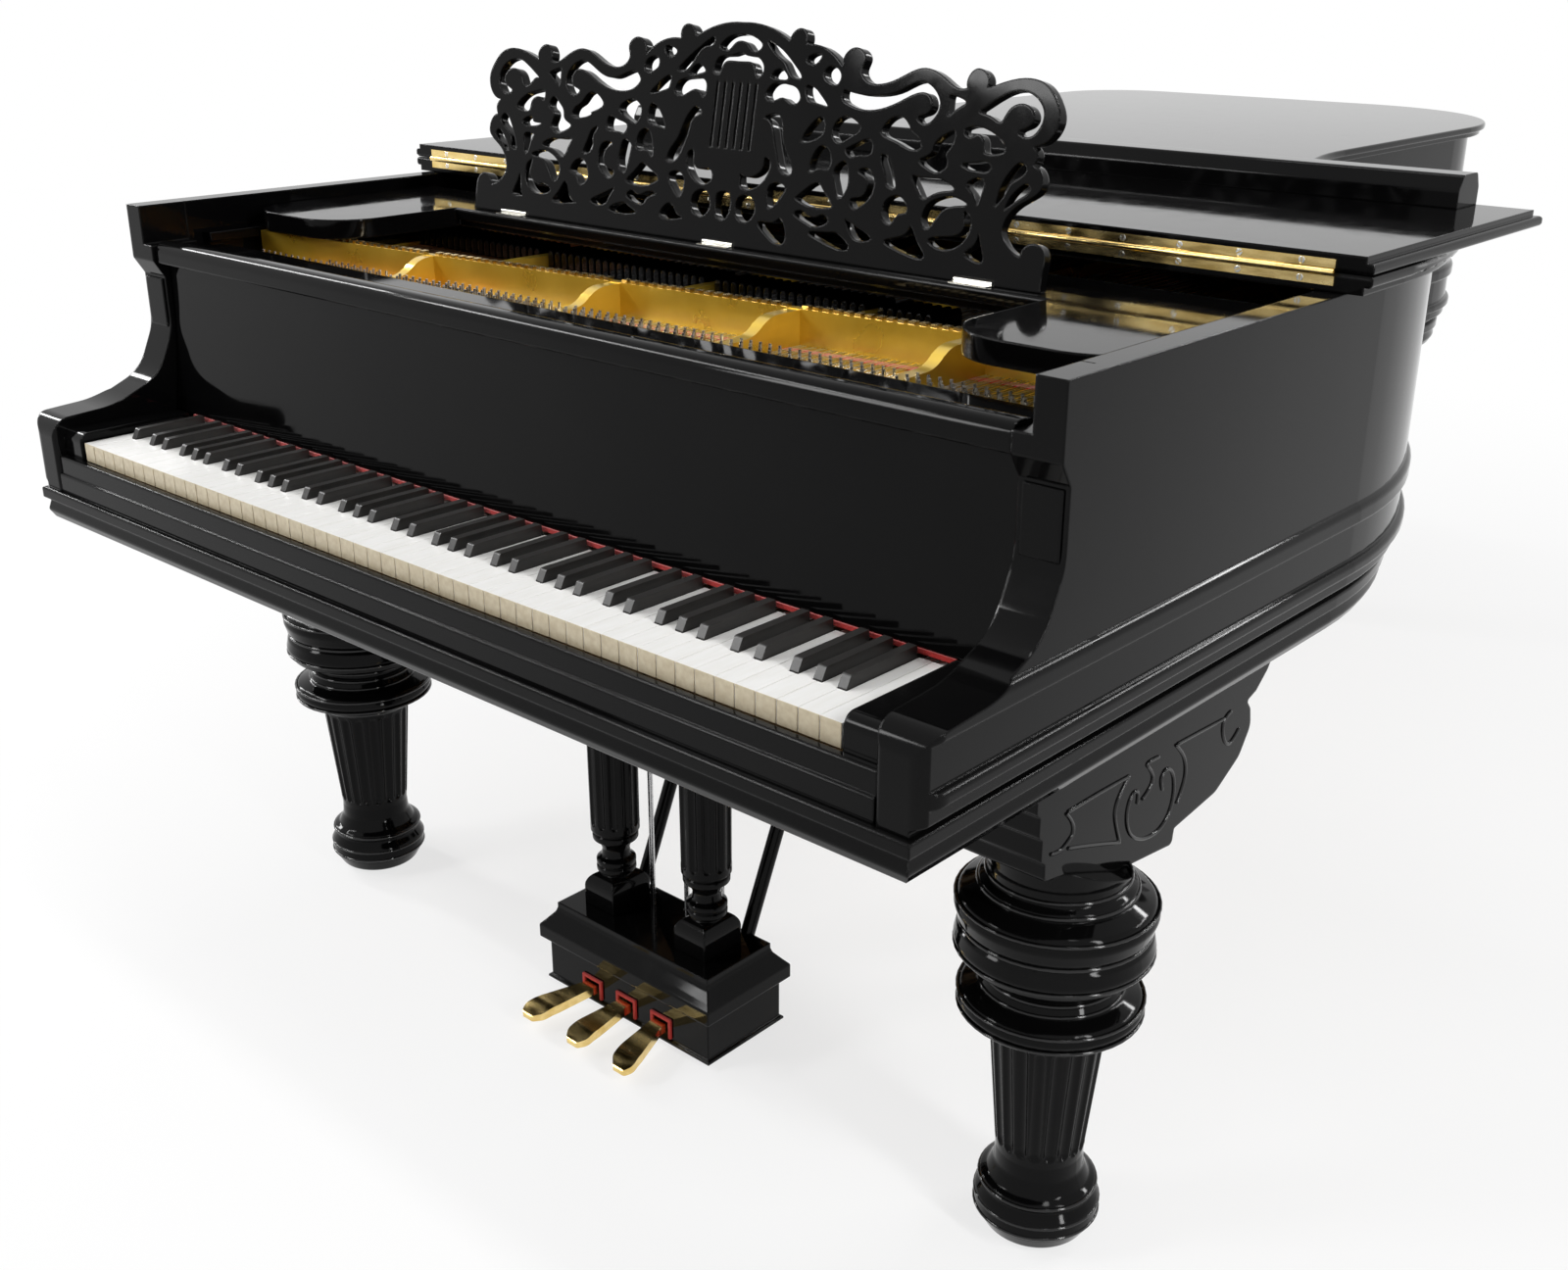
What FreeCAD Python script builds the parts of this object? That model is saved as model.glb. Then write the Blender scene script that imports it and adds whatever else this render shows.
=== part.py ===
import FreeCAD, Part
import os
from math import atan2, cos, degrees, hypot, pi, radians, sin, sqrt, tan
from FreeCAD import Vector

# Keyboard. X runs to the treble side, Y to the tail, Z up; Y is counted from the front edge
# of the naturals and shifted to the middle of the case at the end.
NATURALS = 52
KEY_PITCH = 23.5
KEY_RISE = 68.0
KEY_HEIGHT = 22.0
KEY_LENGTH = 430.0
KEY_SHOWN = 152.0
KEY_GAP = 0.9
KEY_COVER = 3.0
KEY_BLOCK = 46.0
HEAD_LENGTH = 51.0
SHARP_WIDTH = 9.6
SHARP_RISE = 12.0
SHARP_STOP = 5.0
BALANCE_Y = 235.0
BALANCE_R = 4.0
BLOCK_GAP = 4.0
BLOCK_RISE = 11.0
FRAME_RAIL = 40.0
DIP_ROOM = 12.0

# Case outline, seen from above.
ARM_WIDTH = 49.5
WALL = 30.0
TAIL_Y = 2470.0
TAIL_X = 200.0
BASS_CORNER = 123.0
TREBLE_CORNER = 323.0
BEND_START = 715.0
BEND_END = 1650.0
BEND_RADIUS = 600.0
FRONT_Y = -22.0
ARM_DEPTH = 63.0
CHEEK_Y = -16.0
CHEEK_CORNER = 22.0
FIT = 0.4

# Heights of the case and its mouldings.
BASE_BOTTOM = 616.0
BASE_THICK = 41.0
CASE_HEIGHT = 333.6
BASE_INSET = 8.0
BASE_DEPTH = 62.0
BAR_DEPTH = 67.0
SLIP_DEPTH = 13.0
SKIRT_INSET = 14.0
BEAD = 6.0
BEAD_RISE = 81.0
BEAD_HEIGHT = 24.0
ROLL = 7.0
ROLL_RISE = 27.0
ROLL_HEIGHT = 15.0
ARM_NOTCH = 47.6
CHEEK_HEIGHT = 91.0

# Strings and plate.
NOTES = 88
STRING_MARGIN = 76.5
BAR_GAP = 14.0
BAR_NOTES = (20, 42, 60, 76)
BAR_WIDTH = 15.0
BAR_RISE = 17.0
STEEL_R = 0.6
WOUND_R = 1.2
WOUND_NOTES = 26
STRING_SPREAD = 3.4
PLATE_DROP = 83.6
PLATE_THICK = 12.0
PLATE_BAND = 44.0
PLATE_BACK = 103.0
WALL_BASS = 45.0
WALL_TREBLE = 177.0
WALL_THICK = 10.0
WALL_HEIGHT = 39.0
AGRAFFE = 3.6
PIN_R = 3.2
PIN_HEIGHT = 25.0
PINBLOCK_BACK = 60.0
PINBLOCK_DEPTH = 88.0
PINBLOCK_THICK = 37.0
BOARD_BACK = 38.0
BOARD_RISE = 28.0

# Hammers and dampers.
HAMMER_PIVOT_Y = 340.0
HAMMER_PIVOT_RISE = 90.0
HAMMER_REACH = 150.0
HAMMER_HEIGHT = 45.0
HAMMER_WIDTH = 9.0
RAIL_R = 3.0
DAMPER_NOTES = 66
DAMPER_BEHIND = 25.0
DAMPER_LENGTH = 55.0
DAMPER_HEIGHT = 21.0

# Soundboard and beams.
SOUNDBOARD = 10.0
SOUNDBOARD_DROP = 55.0
LINER = 45.0
LINER_RISE = 43.0
BELLY_BEHIND = 30.0
BELLY_DEPTH = 40.0
BEAM_HEIGHT = 70.0
BEAM_WIDTH = 70.0
FIRST_BEAM = 365.0
LAST_BEAM = 460.0
BRACE_BEAM_BEHIND = 80.0
BRACE_BEAM_DEPTH = 100.0
BRIDGE_INSET = 224.0
BRIDGE_HALF = 15.0
BASS_BRIDGE_Y = 330.0
BASS_BRIDGE_X = 76.5
BASS_BRIDGE_LENGTH = 250.0
BASS_BRIDGE_SLANT = 60.0
BASS_BRIDGE_WIDTH = 32.0

# Lid, flap and their long hinge.
LID_OVERHANG = 26.0
LID_THICK = 18.5
LID_LIP = 11.0
LID_UNDERCUT = 8.0
LID_GAP = 0.4
LID_ROUND = 4.0
HINGE_Y = 618.6
HINGE_GAP = 0.4
FLAP_THICK = 17.5
FLAP_DEPTH = 436.0
LEAF = 2.0
LEAF_HEIGHT = 12.5
LEAF_INSET = 38.0
KNUCKLE_R = 3.6
KNUCKLES = 27
HINGE_PIN_R = 1.6
BAR_INSET = 46.5
FLAP_BAR_DEPTH = 56.0
FLAP_BAR_HEIGHT = 36.0
FIRST_SPINE_HINGE = 141.4
LAST_SPINE_HINGE = 470.0
SPINE_AXIS_OUT = 5.5
SPINE_AXIS_DROP = 5.0
SPINE_KNUCKLE = 3.4
SPINE_LEAF = 1.6
SPINE_LENGTH = 90.0

# Lid prop: pivot by the bent side, tip towards the front.
PROP_X = 246.0
PROP_INSET = 42.0
PROP_TIP_INSET = 52.5
PROP_TIP_Y = 700.0
PROP_RISE = 31.0
PROP_DEPTH = 18.0
PROP_WIDTH = 16.0
PROP_PIN = 4.0

# Fallboard.
FALL_GAP = 2.5
FALL_PIVOT_BACK = 14.0
FALL_PIVOT_RISE = 32.0
FALL_FOOT_RISE = 8.0
FALL_LEAN = 16.0
FALL_TOP_DROP = 69.6
FALL_SAG = 5.0
FALL_THICK = 18.0
FALL_PIN_R = 5.0
FALL_PIN_LENGTH = 12.0
RAIL_DEPTH = 34.0
RAIL_HEIGHT = 27.0
FELT_THICK = 2.5
FELT_HEIGHT = 7.0

# Music shelf and desk.
RUNNER_WIDTH = 20.0
RUNNER_HEIGHT = 12.0
RUNNER_AHEAD = 60.0
RUNNER_BEHIND = 62.0
SHELF_DROP = 39.6
SHELF_THICK = 24.0
SHELF_SET_BACK = 20.6
TRAY_FRONT = 290.0
TRAY_GAP = 19.0
TRAY_SIDE_GAP = 5.0
TRAY_ROUND = 70.0
LEDGE_FRONT = 480.0
DESK_AXIS_BACK = 16.0
DESK_AXIS_RISE = 2.6
DESK_LEAN = 11.0
DESK_THICK = 12.0
DESK_BARREL = 2.2
DESK_HALF = 448.0
DESK_HINGE_INSET = 84.0

# Legs and consoles.
LEG_INSET = 107.2
LEG_Y = 358.0
TAIL_LEG_INSET = 290.0
CONSOLE_DROP = 116.0
CONSOLE_RISE = 130.0
FLUTES = 20
FLUTE_R = 9.0
SHAFT_LOW = 104.0
SHAFT_HIGH = 262.0
SHAFT_LOW_R = 47.0
SHAFT_HIGH_R = 61.0
CONSOLE_HALF = 47.0
TAIL_BLOCK_HALF = 95.0

# Lyre and pedals.
LYRE_Y = 377.5
BOX_HALF = 146.0
BOX_HALF_DEPTH = 65.5
BOX_BOTTOM = 9.0
BOX_TOP = 122.0
BOX_LEDGE = 10.0
COLUMN_X = 83.0
COLUMN_R = 34.0
COLUMN_LOW_R = 32.0
COLUMN_FLUTES = 12
COLUMN_FLUTE_R = 6.5
DIE_HALF = 27.0
DIE_HALF_DEPTH = 33.0
DIE_HEIGHT = 48.0
BRACE_X = 97.0
BRACE_R = 9.5
BRACE_BACK = 277.5
PEDAL_X = 64.0
PEDAL_AXIS_AHEAD = 2.5
PEDAL_AXIS_Z = 29.0
PEDAL_PIN = 4.0
PEDAL_WIDTH = 20.0
PEDAL_HEIGHT = 12.0
PEDAL_TOE = 163.0
PEDAL_HEEL = 52.5
PEDAL_SPLAY = 14.0
SLOT_GAP = 4.0
SLOT_ROOM = 8.0
COLLAR = 3.0
COLLAR_EDGE = 4.0
ROD_R = 3.5
ROD_BACK = 46.5
ROD_GAP = 0.5
ROD_ENTRY = 12.0

# Places across the case that follow from the sizes above.
KEYS_HALF = NATURALS * KEY_PITCH / 2
ARM_INNER = KEYS_HALF + KEY_BLOCK
HALF_WIDTH = ARM_INNER + ARM_WIDTH
INNER = HALF_WIDTH - WALL
BASE_INNER = HALF_WIDTH - BASE_INSET - BASE_DEPTH
STRING_PITCH = (2 * (INNER - STRING_MARGIN) - len(BAR_NOTES) * BAR_GAP) / NOTES
FALL_HALF = ARM_INNER - FALL_GAP
LEAF_HALF = HALF_WIDTH + LID_OVERHANG - LEAF_INSET
BAR_END = HALF_WIDTH - BAR_INSET
TRAY_INNER = DESK_HALF + TRAY_GAP
LEG_X = HALF_WIDTH - LEG_INSET
TAIL_LEG_X = (TAIL_X - HALF_WIDTH) / 2
BEND_ANGLE = 2 * atan2(HALF_WIDTH - TAIL_X, BEND_END - BEND_START)
HOLLOW_RADIUS = (BEND_END - BEND_START) / sin(BEND_ANGLE) - BEND_RADIUS

# Heights that follow.
BASE_TOP = BASE_BOTTOM + BASE_THICK
RIM_TOP = BASE_TOP + CASE_HEIGHT
BEAD_LOW = BASE_TOP + BEAD_RISE
BEAD_HIGH = BEAD_LOW + BEAD_HEIGHT
ROLL_LOW = BASE_TOP + ROLL_RISE
ROLL_HIGH = ROLL_LOW + ROLL_HEIGHT
NOTCH_Z = RIM_TOP - ARM_NOTCH
CHEEK_TOP = BASE_TOP + CHEEK_HEIGHT
KEY_TOP = BASE_TOP + KEY_RISE
KEY_BOTTOM = KEY_TOP - KEY_HEIGHT
PLATE_TOP = RIM_TOP - PLATE_DROP
PLATE_BOTTOM = PLATE_TOP - PLATE_THICK
STRING_Z = PLATE_TOP + WOUND_R
WALL_TOP = PLATE_TOP + WALL_HEIGHT
PINBLOCK_BOTTOM = PLATE_BOTTOM - PINBLOCK_THICK
BOARD_TOP = PLATE_TOP + BOARD_RISE
HAMMER_PIVOT_Z = KEY_TOP + HAMMER_PIVOT_RISE
HAMMER_TOP = HAMMER_PIVOT_Z + HAMMER_HEIGHT
SOUNDBOARD_Z = PLATE_BOTTOM - SOUNDBOARD_DROP
LINER_BOTTOM = BASE_TOP + LINER_RISE
LID_BOTTOM = RIM_TOP + LID_GAP
LID_TOP = LID_BOTTOM + LID_THICK
HINGE_Z = LID_TOP + HINGE_GAP
FLAP_BOTTOM = HINGE_Z + HINGE_GAP
PROP_Z = PLATE_TOP + PROP_RISE
FALL_PIVOT_Z = KEY_TOP + FALL_PIVOT_RISE
FALL_FOOT_Z = KEY_TOP + FALL_FOOT_RISE
FALL_TOP_Z = RIM_TOP - FALL_TOP_DROP
SHELF_BOTTOM = RIM_TOP - SHELF_DROP
SHELF_TOP = SHELF_BOTTOM + SHELF_THICK
DESK_AXIS_Z = SHELF_TOP + DESK_AXIS_RISE
LEG_TOP = BASE_BOTTOM - CONSOLE_DROP

# Places along the case that follow.
SHARP_END = KEY_SHOWN - SHARP_STOP
ARM_FACE_Y = KEY_SHOWN - SHARP_STOP
ARM_BACK = ARM_FACE_Y + ARM_DEPTH
FALL_FOOT_Y = KEY_SHOWN
FALL_PIVOT_Y = FALL_FOOT_Y + FALL_PIVOT_BACK
FALL_TOP_Y = FALL_FOOT_Y + FALL_LEAN
BOARD_FRONT = KEY_SHOWN + BOARD_BACK
PINBLOCK_FRONT = KEY_SHOWN + PINBLOCK_BACK
PLATE_FRONT = KEY_SHOWN + PLATE_BACK
WALL_BASS_Y = PLATE_FRONT + WALL_BASS
WALL_TREBLE_Y = PLATE_FRONT + WALL_TREBLE
STRIKE_Y = HAMMER_PIVOT_Y + HAMMER_REACH
DAMPER_Y = STRIKE_Y + DAMPER_BEHIND
BELLY_Y = STRIKE_Y + BELLY_BEHIND
BRACE_BEAM_Y = BELLY_Y + BRACE_BEAM_BEHIND
SHELF_BACK = HINGE_Y - SHELF_SET_BACK
RUNNER_FRONT = TRAY_FRONT - RUNNER_AHEAD
RUNNER_BACK = SHELF_BACK + RUNNER_BEHIND
DESK_AXIS_Y = LEDGE_FRONT + DESK_AXIS_BACK
TAIL_LEG_Y = TAIL_Y - TAIL_LEG_INSET
BOX_FRONT = LYRE_Y - BOX_HALF_DEPTH
BOX_BACK = LYRE_Y + BOX_HALF_DEPTH
PEDAL_AXIS_Y = LYRE_Y - PEDAL_AXIS_AHEAD
PEDAL_TOE_Y = LYRE_Y - PEDAL_TOE
PEDAL_BACK_Y = LYRE_Y + PEDAL_HEEL
ROD_Y = LYRE_Y + ROD_BACK
BRACE_TOP_Y = LYRE_Y + BRACE_BACK
Y_CENTRE = (TAIL_Y + LID_OVERHANG + FRONT_Y) / 2


def box(x0, x1, y0, y1, z0, z1):
    return Part.makeBox(x1 - x0, y1 - y0, z1 - z0, Vector(x0, y0, z0))


def rod(start, end, radius):
    axis = Vector(*end) - Vector(*start)
    return Part.makeCylinder(radius, axis.Length, Vector(*start), axis)


def rounded_wire(points, place):
    """Closed wire through corners (a, b) or (a, b, radius); place turns (a, b) into a point in space."""
    edges = []
    ends = []
    count = len(points)
    for i in range(count):
        here = Vector(points[i][0], points[i][1], 0)
        radius = points[i][2] if len(points[i]) > 2 else 0
        if radius == 0:
            ends.append((here, here, None))
            continue
        back = Vector(points[i - 1][0], points[i - 1][1], 0) - here
        ahead = Vector(points[(i + 1) % count][0], points[(i + 1) % count][1], 0) - here
        half = back.getAngle(ahead) / 2
        back.normalize()
        ahead.normalize()
        reach = radius / tan(half)
        middle = back + ahead
        middle.normalize()
        summit = here + middle * (radius / sin(half) - radius)
        ends.append((here + back * reach, here + ahead * reach, summit))
    for i in range(count):
        first, last, summit = ends[i]
        following = ends[(i + 1) % count][0]
        if summit is not None:
            edges.append(Part.Arc(place(first), place(summit), place(last)).toShape())
        if (following - last).Length > 1e-6:
            edges.append(Part.makeLine(place(last), place(following)))
    return Part.Wire(edges)


def prism_x(points, x0, x1):
    """Profile in (y, z), drawn out along X."""
    wire = rounded_wire(points, lambda p: Vector(x0, p.x, p.y))
    return Part.Face(wire).extrude(Vector(x1 - x0, 0, 0))


def prism_y(points, y0, y1):
    """Profile in (x, z), drawn out along Y."""
    wire = rounded_wire(points, lambda p: Vector(p.x, y0, p.y))
    return Part.Face(wire).extrude(Vector(0, y1 - y0, 0))


def prism_z(points, z0, z1):
    """Profile in (x, y), drawn out along Z."""
    wire = rounded_wire(points, lambda p: Vector(p.x, p.y, z0))
    return Part.Face(wire).extrude(Vector(0, 0, z1 - z0))


def turned(points, x, y):
    """Profile in (radius, z), turned about a vertical axis."""
    wire = rounded_wire(points, lambda p: Vector(x + p.x, y, p.y))
    return Part.Face(wire).revolve(Vector(x, y, 0), Vector(0, 0, 1), 360)


def mirrored(shape):
    return shape.mirror(Vector(0, 0, 0), Vector(1, 0, 0))


def fused(shapes):
    joined = shapes[0].multiFuse(shapes[1:]).removeSplitter()
    return joined.Solids[0] if len(joined.Solids) == 1 else joined


def outline(off, front):
    """Edges of the case seen from above, moved outwards by off, from the spine round the tail to the treble side."""
    bass = Vector(-HALF_WIDTH + BASS_CORNER, TAIL_Y - BASS_CORNER, 0)
    treble = Vector(TAIL_X - TREBLE_CORNER, TAIL_Y - TREBLE_CORNER, 0)
    hollow = Vector(TAIL_X + HOLLOW_RADIUS, BEND_END, 0)
    bend = Vector(HALF_WIDTH - BEND_RADIUS, BEND_START, 0)

    def polar(centre, radius, angle):
        return centre + Vector(radius * cos(angle), radius * sin(angle), 0)

    def arc(centre, radius, a0, a1):
        points = [polar(centre, radius, a) for a in (a0, (a0 + a1) / 2, a1)]
        return Part.Arc(*points).toShape()

    bass_r = BASS_CORNER + off
    treble_r = TREBLE_CORNER + off
    hollow_r = HOLLOW_RADIUS - off
    bend_r = BEND_RADIUS + off
    turn = BEND_ANGLE
    return [
        Part.makeLine(Vector(-HALF_WIDTH - off, front, 0), polar(bass, bass_r, pi)),
        arc(bass, bass_r, pi, pi / 2),
        Part.makeLine(polar(bass, bass_r, pi / 2), polar(treble, treble_r, pi / 2)),
        arc(treble, treble_r, pi / 2, 0),
        Part.makeLine(polar(treble, treble_r, 0), polar(hollow, hollow_r, pi)),
        arc(hollow, hollow_r, pi, pi + turn),
        arc(bend, bend_r, turn, 0),
        Part.makeLine(polar(bend, bend_r, 0), Vector(HALF_WIDTH + off, front, 0)),
    ]


def slab(off, front, z0, z1):
    """Plate with the case outline, straight across at the front."""
    edges = outline(off, front)
    closing = Part.makeLine(Vector(HALF_WIDTH + off, front, 0), Vector(-HALF_WIDTH - off, front, 0))
    face = Part.Face(Part.Wire(edges + [closing]))
    face.translate(Vector(0, 0, z0))
    return face.extrude(Vector(0, 0, z1 - z0))


def swept(section, front):
    """Profile in (offset from the case line, z), led round the case from the spine to the treble side."""
    wire = rounded_wire(section, lambda p: Vector(-HALF_WIDTH - p.x, front, p.y))
    path = Part.Wire(outline(0, front))
    solid = path.makePipe(Part.Face(wire))
    return Part.makeSolid(solid) if solid.ShapeType == "Shell" else solid


def bent_side_y(x, off):
    """How far back the case line, moved by off, runs at a place across the case."""
    turn_x = HALF_WIDTH - BEND_RADIUS + (BEND_RADIUS + off) * cos(BEND_ANGLE)
    if x >= turn_x:
        return BEND_START + sqrt((BEND_RADIUS + off) ** 2 - (x - HALF_WIDTH + BEND_RADIUS) ** 2)
    if x > TAIL_X + off:
        return BEND_END - sqrt((HOLLOW_RADIUS - off) ** 2 - (TAIL_X + HOLLOW_RADIUS - x) ** 2)
    corner_x = TAIL_X - TREBLE_CORNER
    if x > corner_x:
        return TAIL_Y - TREBLE_CORNER + sqrt((TREBLE_CORNER + off) ** 2 - (x - corner_x) ** 2)
    return TAIL_Y + off


def wall_y(x):
    """Front face of the plate's wall at a place across the case."""
    share = (x + INNER) / (2 * INNER)
    return WALL_BASS_Y + (WALL_TREBLE_Y - WALL_BASS_Y) * share


def note_x(note):
    passed = len([n for n in BAR_NOTES if n <= note])
    span = NOTES * STRING_PITCH + len(BAR_NOTES) * BAR_GAP
    return -span / 2 + STRING_PITCH * (note + 0.5) + BAR_GAP * passed


def strings_of(note):
    """Offsets of a note's strings from its centre: one or two in the bass, three above."""
    if note < 10:
        return (0,)
    if note < WOUND_NOTES:
        return (-STRING_SPREAD / 2, STRING_SPREAD / 2)
    return (-STRING_SPREAD, 0, STRING_SPREAD)


pieces = {}

# Outer rim: bent wall with a bead and a roll on its face and a skirt set in at the bottom.
face_profile = [
    (-SKIRT_INSET, BASE_TOP),
    (-SKIRT_INSET, BASE_TOP + 7, 3),
    (0, BASE_TOP + 13, 2),
    (0, ROLL_LOW),
    (ROLL, ROLL_LOW + 1, 3),
    (ROLL, ROLL_HIGH - 1, 6),
    (0, ROLL_HIGH),
    (0, BEAD_LOW),
    (BEAD, BEAD_LOW + 3, 4),
    (BEAD, BEAD_HIGH - 3, 8),
    (0, BEAD_HIGH),
    (0, RIM_TOP),
]
rim_section = face_profile + [(-WALL, RIM_TOP), (-WALL, BASE_TOP)]
pieces["outer_rim"] = swept(rim_section, ARM_BACK)

# Arms: a cheek with a rounded top at the front, an ogee up to the tall part, the rim's mouldings on the side.
arm_side = [
    (CHEEK_Y, BASE_TOP),
    (CHEEK_Y, CHEEK_TOP, 24),
    (CHEEK_Y + 86, CHEEK_TOP + 5, 120),
    (FALL_FOOT_Y - 18, CHEEK_TOP + 32, 60),
    (FALL_FOOT_Y + 8, CHEEK_TOP + 88, 60),
    (FALL_FOOT_Y + 8, FALL_TOP_Z - 18),
    (ARM_FACE_Y, FALL_TOP_Z + 3, 5),
    (ARM_FACE_Y, RIM_TOP),
    (ARM_BACK, RIM_TOP),
    (ARM_BACK, BASE_TOP),
]
arm_cross = [(HALF_WIDTH + p[0], p[1]) + p[2:] for p in face_profile]
arm_cross += [(INNER, RIM_TOP), (INNER, NOTCH_Z), (ARM_INNER, NOTCH_Z), (ARM_INNER, BASE_TOP)]
arm_plan = [
    (ARM_INNER, CHEEK_Y, 6),
    (HALF_WIDTH + ROLL, CHEEK_Y, CHEEK_CORNER),
    (HALF_WIDTH + ROLL, ARM_BACK),
    (ARM_INNER, ARM_BACK),
]
arm = prism_x(arm_side, ARM_INNER, HALF_WIDTH + ROLL)
arm = arm.common(prism_y(arm_cross, CHEEK_Y, ARM_BACK))
arm = arm.common(prism_z(arm_plan, BASE_TOP, RIM_TOP))
fall_bore = rod(
    (ARM_INNER - 1, FALL_PIVOT_Y, FALL_PIVOT_Z),
    (FALL_HALF + FALL_PIN_LENGTH + 1, FALL_PIVOT_Y, FALL_PIVOT_Z),
    FALL_PIN_R + 0.3,
)
arm = arm.cut(fall_bore)
pieces["right_arm"] = arm
pieces["left_arm"] = mirrored(arm)

# Bottom moulding: a stepped strip under the rim and a moulded bar with returned corners across the front.
base_steps = [
    (-9, BASE_BOTTOM, 3),
    (-3, BASE_BOTTOM + 11, 6),
    (-6, BASE_BOTTOM + 22, 3),
    (-6, BASE_BOTTOM + 26),
    (0, BASE_BOTTOM + 27, 1),
    (0, BASE_TOP, 3),
]
strip = [(p[0] - BASE_INSET, p[1]) + p[2:] for p in base_steps]
strip += [(-BASE_INSET - BASE_DEPTH, BASE_TOP), (-BASE_INSET - BASE_DEPTH, BASE_BOTTOM)]
bar_front = [(FRONT_Y - p[0], p[1]) + p[2:] for p in base_steps]
bar_front += [(FRONT_Y + BAR_DEPTH, BASE_TOP), (FRONT_Y + BAR_DEPTH, BASE_BOTTOM)]
bar_ends = [(HALF_WIDTH - BASE_INSET + p[0], p[1]) + p[2:] for p in base_steps]
bar_ends += [(-p[0], p[1]) + p[2:] for p in reversed(bar_ends)]
front_bar = prism_x(bar_front, -HALF_WIDTH, HALF_WIDTH)
front_bar = front_bar.common(prism_y(bar_ends, FRONT_Y, FRONT_Y + BAR_DEPTH))
pieces["base_moulding"] = fused([front_bar, swept(strip, FRONT_Y + BAR_DEPTH)])

# Keybed, key slip and the blocks at both ends of the keys.
keybed_back = BELLY_Y
keybed = box(-BASE_INNER, BASE_INNER, FRONT_Y + BAR_DEPTH, keybed_back, BASE_BOTTOM, BASE_TOP)
rod_holes = []
for x in (-PEDAL_X, 0, PEDAL_X):
    rod_holes.append(rod((x, ROD_Y, BASE_BOTTOM - 1), (x, ROD_Y, BASE_TOP - 2), ROD_R + ROD_GAP))
pieces["keybed"] = keybed.cut(Part.makeCompound(rod_holes))
slip_step = (BASE_TOP + KEY_BOTTOM) / 2
slip_back = CHEEK_Y + SLIP_DEPTH
slip = [
    (CHEEK_Y + 1, BASE_TOP),
    (CHEEK_Y + 1, slip_step, 2),
    (CHEEK_Y + 4, slip_step + 1),
    (CHEEK_Y + 4, KEY_BOTTOM, 3),
    (slip_back, KEY_BOTTOM),
    (slip_back, BASE_TOP),
]
pieces["key_slip"] = prism_x(slip, -ARM_INNER, ARM_INNER)
block_side = [
    (slip_back, BASE_TOP),
    (slip_back, KEY_TOP + BLOCK_RISE, 12),
    (FALL_FOOT_Y - 6, KEY_TOP + BLOCK_RISE, 2),
    (FALL_FOOT_Y - 6, BASE_TOP),
]
block = prism_x(block_side, KEYS_HALF + BLOCK_GAP, ARM_INNER)
pieces["key_blocks"] = Part.makeCompound([block, mirrored(block)])

# Inner frame: liner for the soundboard, belly rail and beams.
liner = [
    (-WALL - LINER, LINER_BOTTOM),
    (-WALL, LINER_BOTTOM),
    (-WALL, SOUNDBOARD_Z),
    (-WALL - LINER, SOUNDBOARD_Z),
]
inside = slab(-WALL, ARM_BACK, BASE_BOTTOM, RIM_TOP)
frame = [swept(liner, BELLY_Y)]
frame.append(box(-INNER, INNER, BELLY_Y, BELLY_Y + BELLY_DEPTH, BASE_TOP, SOUNDBOARD_Z))
brace_beam = box(
    -BASE_INNER, BASE_INNER,
    BRACE_BEAM_Y, BRACE_BEAM_Y + BRACE_BEAM_DEPTH,
    BASE_BOTTOM, LINER_BOTTOM + BEAM_HEIGHT,
)
frame.append(brace_beam)
first_beam = BEND_START + FIRST_BEAM
last_beam = TAIL_Y - LAST_BEAM
for beam_y in (first_beam, (first_beam + last_beam) / 2, last_beam):
    beam = box(-INNER, INNER, beam_y, beam_y + BEAM_WIDTH, LINER_BOTTOM, LINER_BOTTOM + BEAM_HEIGHT)
    frame.append(beam.common(inside))
leg_beam = box(
    -INNER, INNER,
    TAIL_LEG_Y - TAIL_BLOCK_HALF, TAIL_LEG_Y + TAIL_BLOCK_HALF,
    BASE_TOP, LINER_BOTTOM + BEAM_HEIGHT,
)
frame.append(leg_beam.common(inside))
pieces["inner_frame"] = fused(frame)

# Soundboard with the long bridge and the bass bridge on it.
board = slab(-WALL, BELLY_Y, SOUNDBOARD_Z, SOUNDBOARD_Z + SOUNDBOARD)
bridge_top = STRING_Z - WOUND_R - FIT
bridge_line = []
for share in (-0.68, -0.41, -0.12, 0.12, 0.37, 0.62, 0.83, 0.95):
    x = share * (HALF_WIDTH - BRIDGE_INSET)
    bridge_line.append(Vector(x, bent_side_y(x, -BRIDGE_INSET), SOUNDBOARD_Z + SOUNDBOARD))
bridges = []
for near, far in zip(bridge_line[:-1], bridge_line[1:]):
    run = far - near
    side = Vector(-run.y, run.x, 0)
    side.normalize()
    side = side * BRIDGE_HALF
    corners = [near + side, far + side, far - side, near - side]
    bridges.append(prism_z([(c.x, c.y) for c in corners], SOUNDBOARD_Z + SOUNDBOARD, bridge_top))
bridges = [fused(bridges)]
bass_line = TAIL_Y - BASS_BRIDGE_Y
bass_low = -INNER + BASS_BRIDGE_X
bass_high = bass_low + BASS_BRIDGE_LENGTH
bass_bridge = [
    (bass_low, bass_line - BASS_BRIDGE_SLANT),
    (bass_high, bass_line),
    (bass_high, bass_line + BASS_BRIDGE_WIDTH),
    (bass_low, bass_line + BASS_BRIDGE_WIDTH - BASS_BRIDGE_SLANT),
]
bridges.append(prism_z(bass_bridge, SOUNDBOARD_Z + SOUNDBOARD, bridge_top))
pieces["soundboard"] = Part.makeCompound([board] + bridges)

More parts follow.
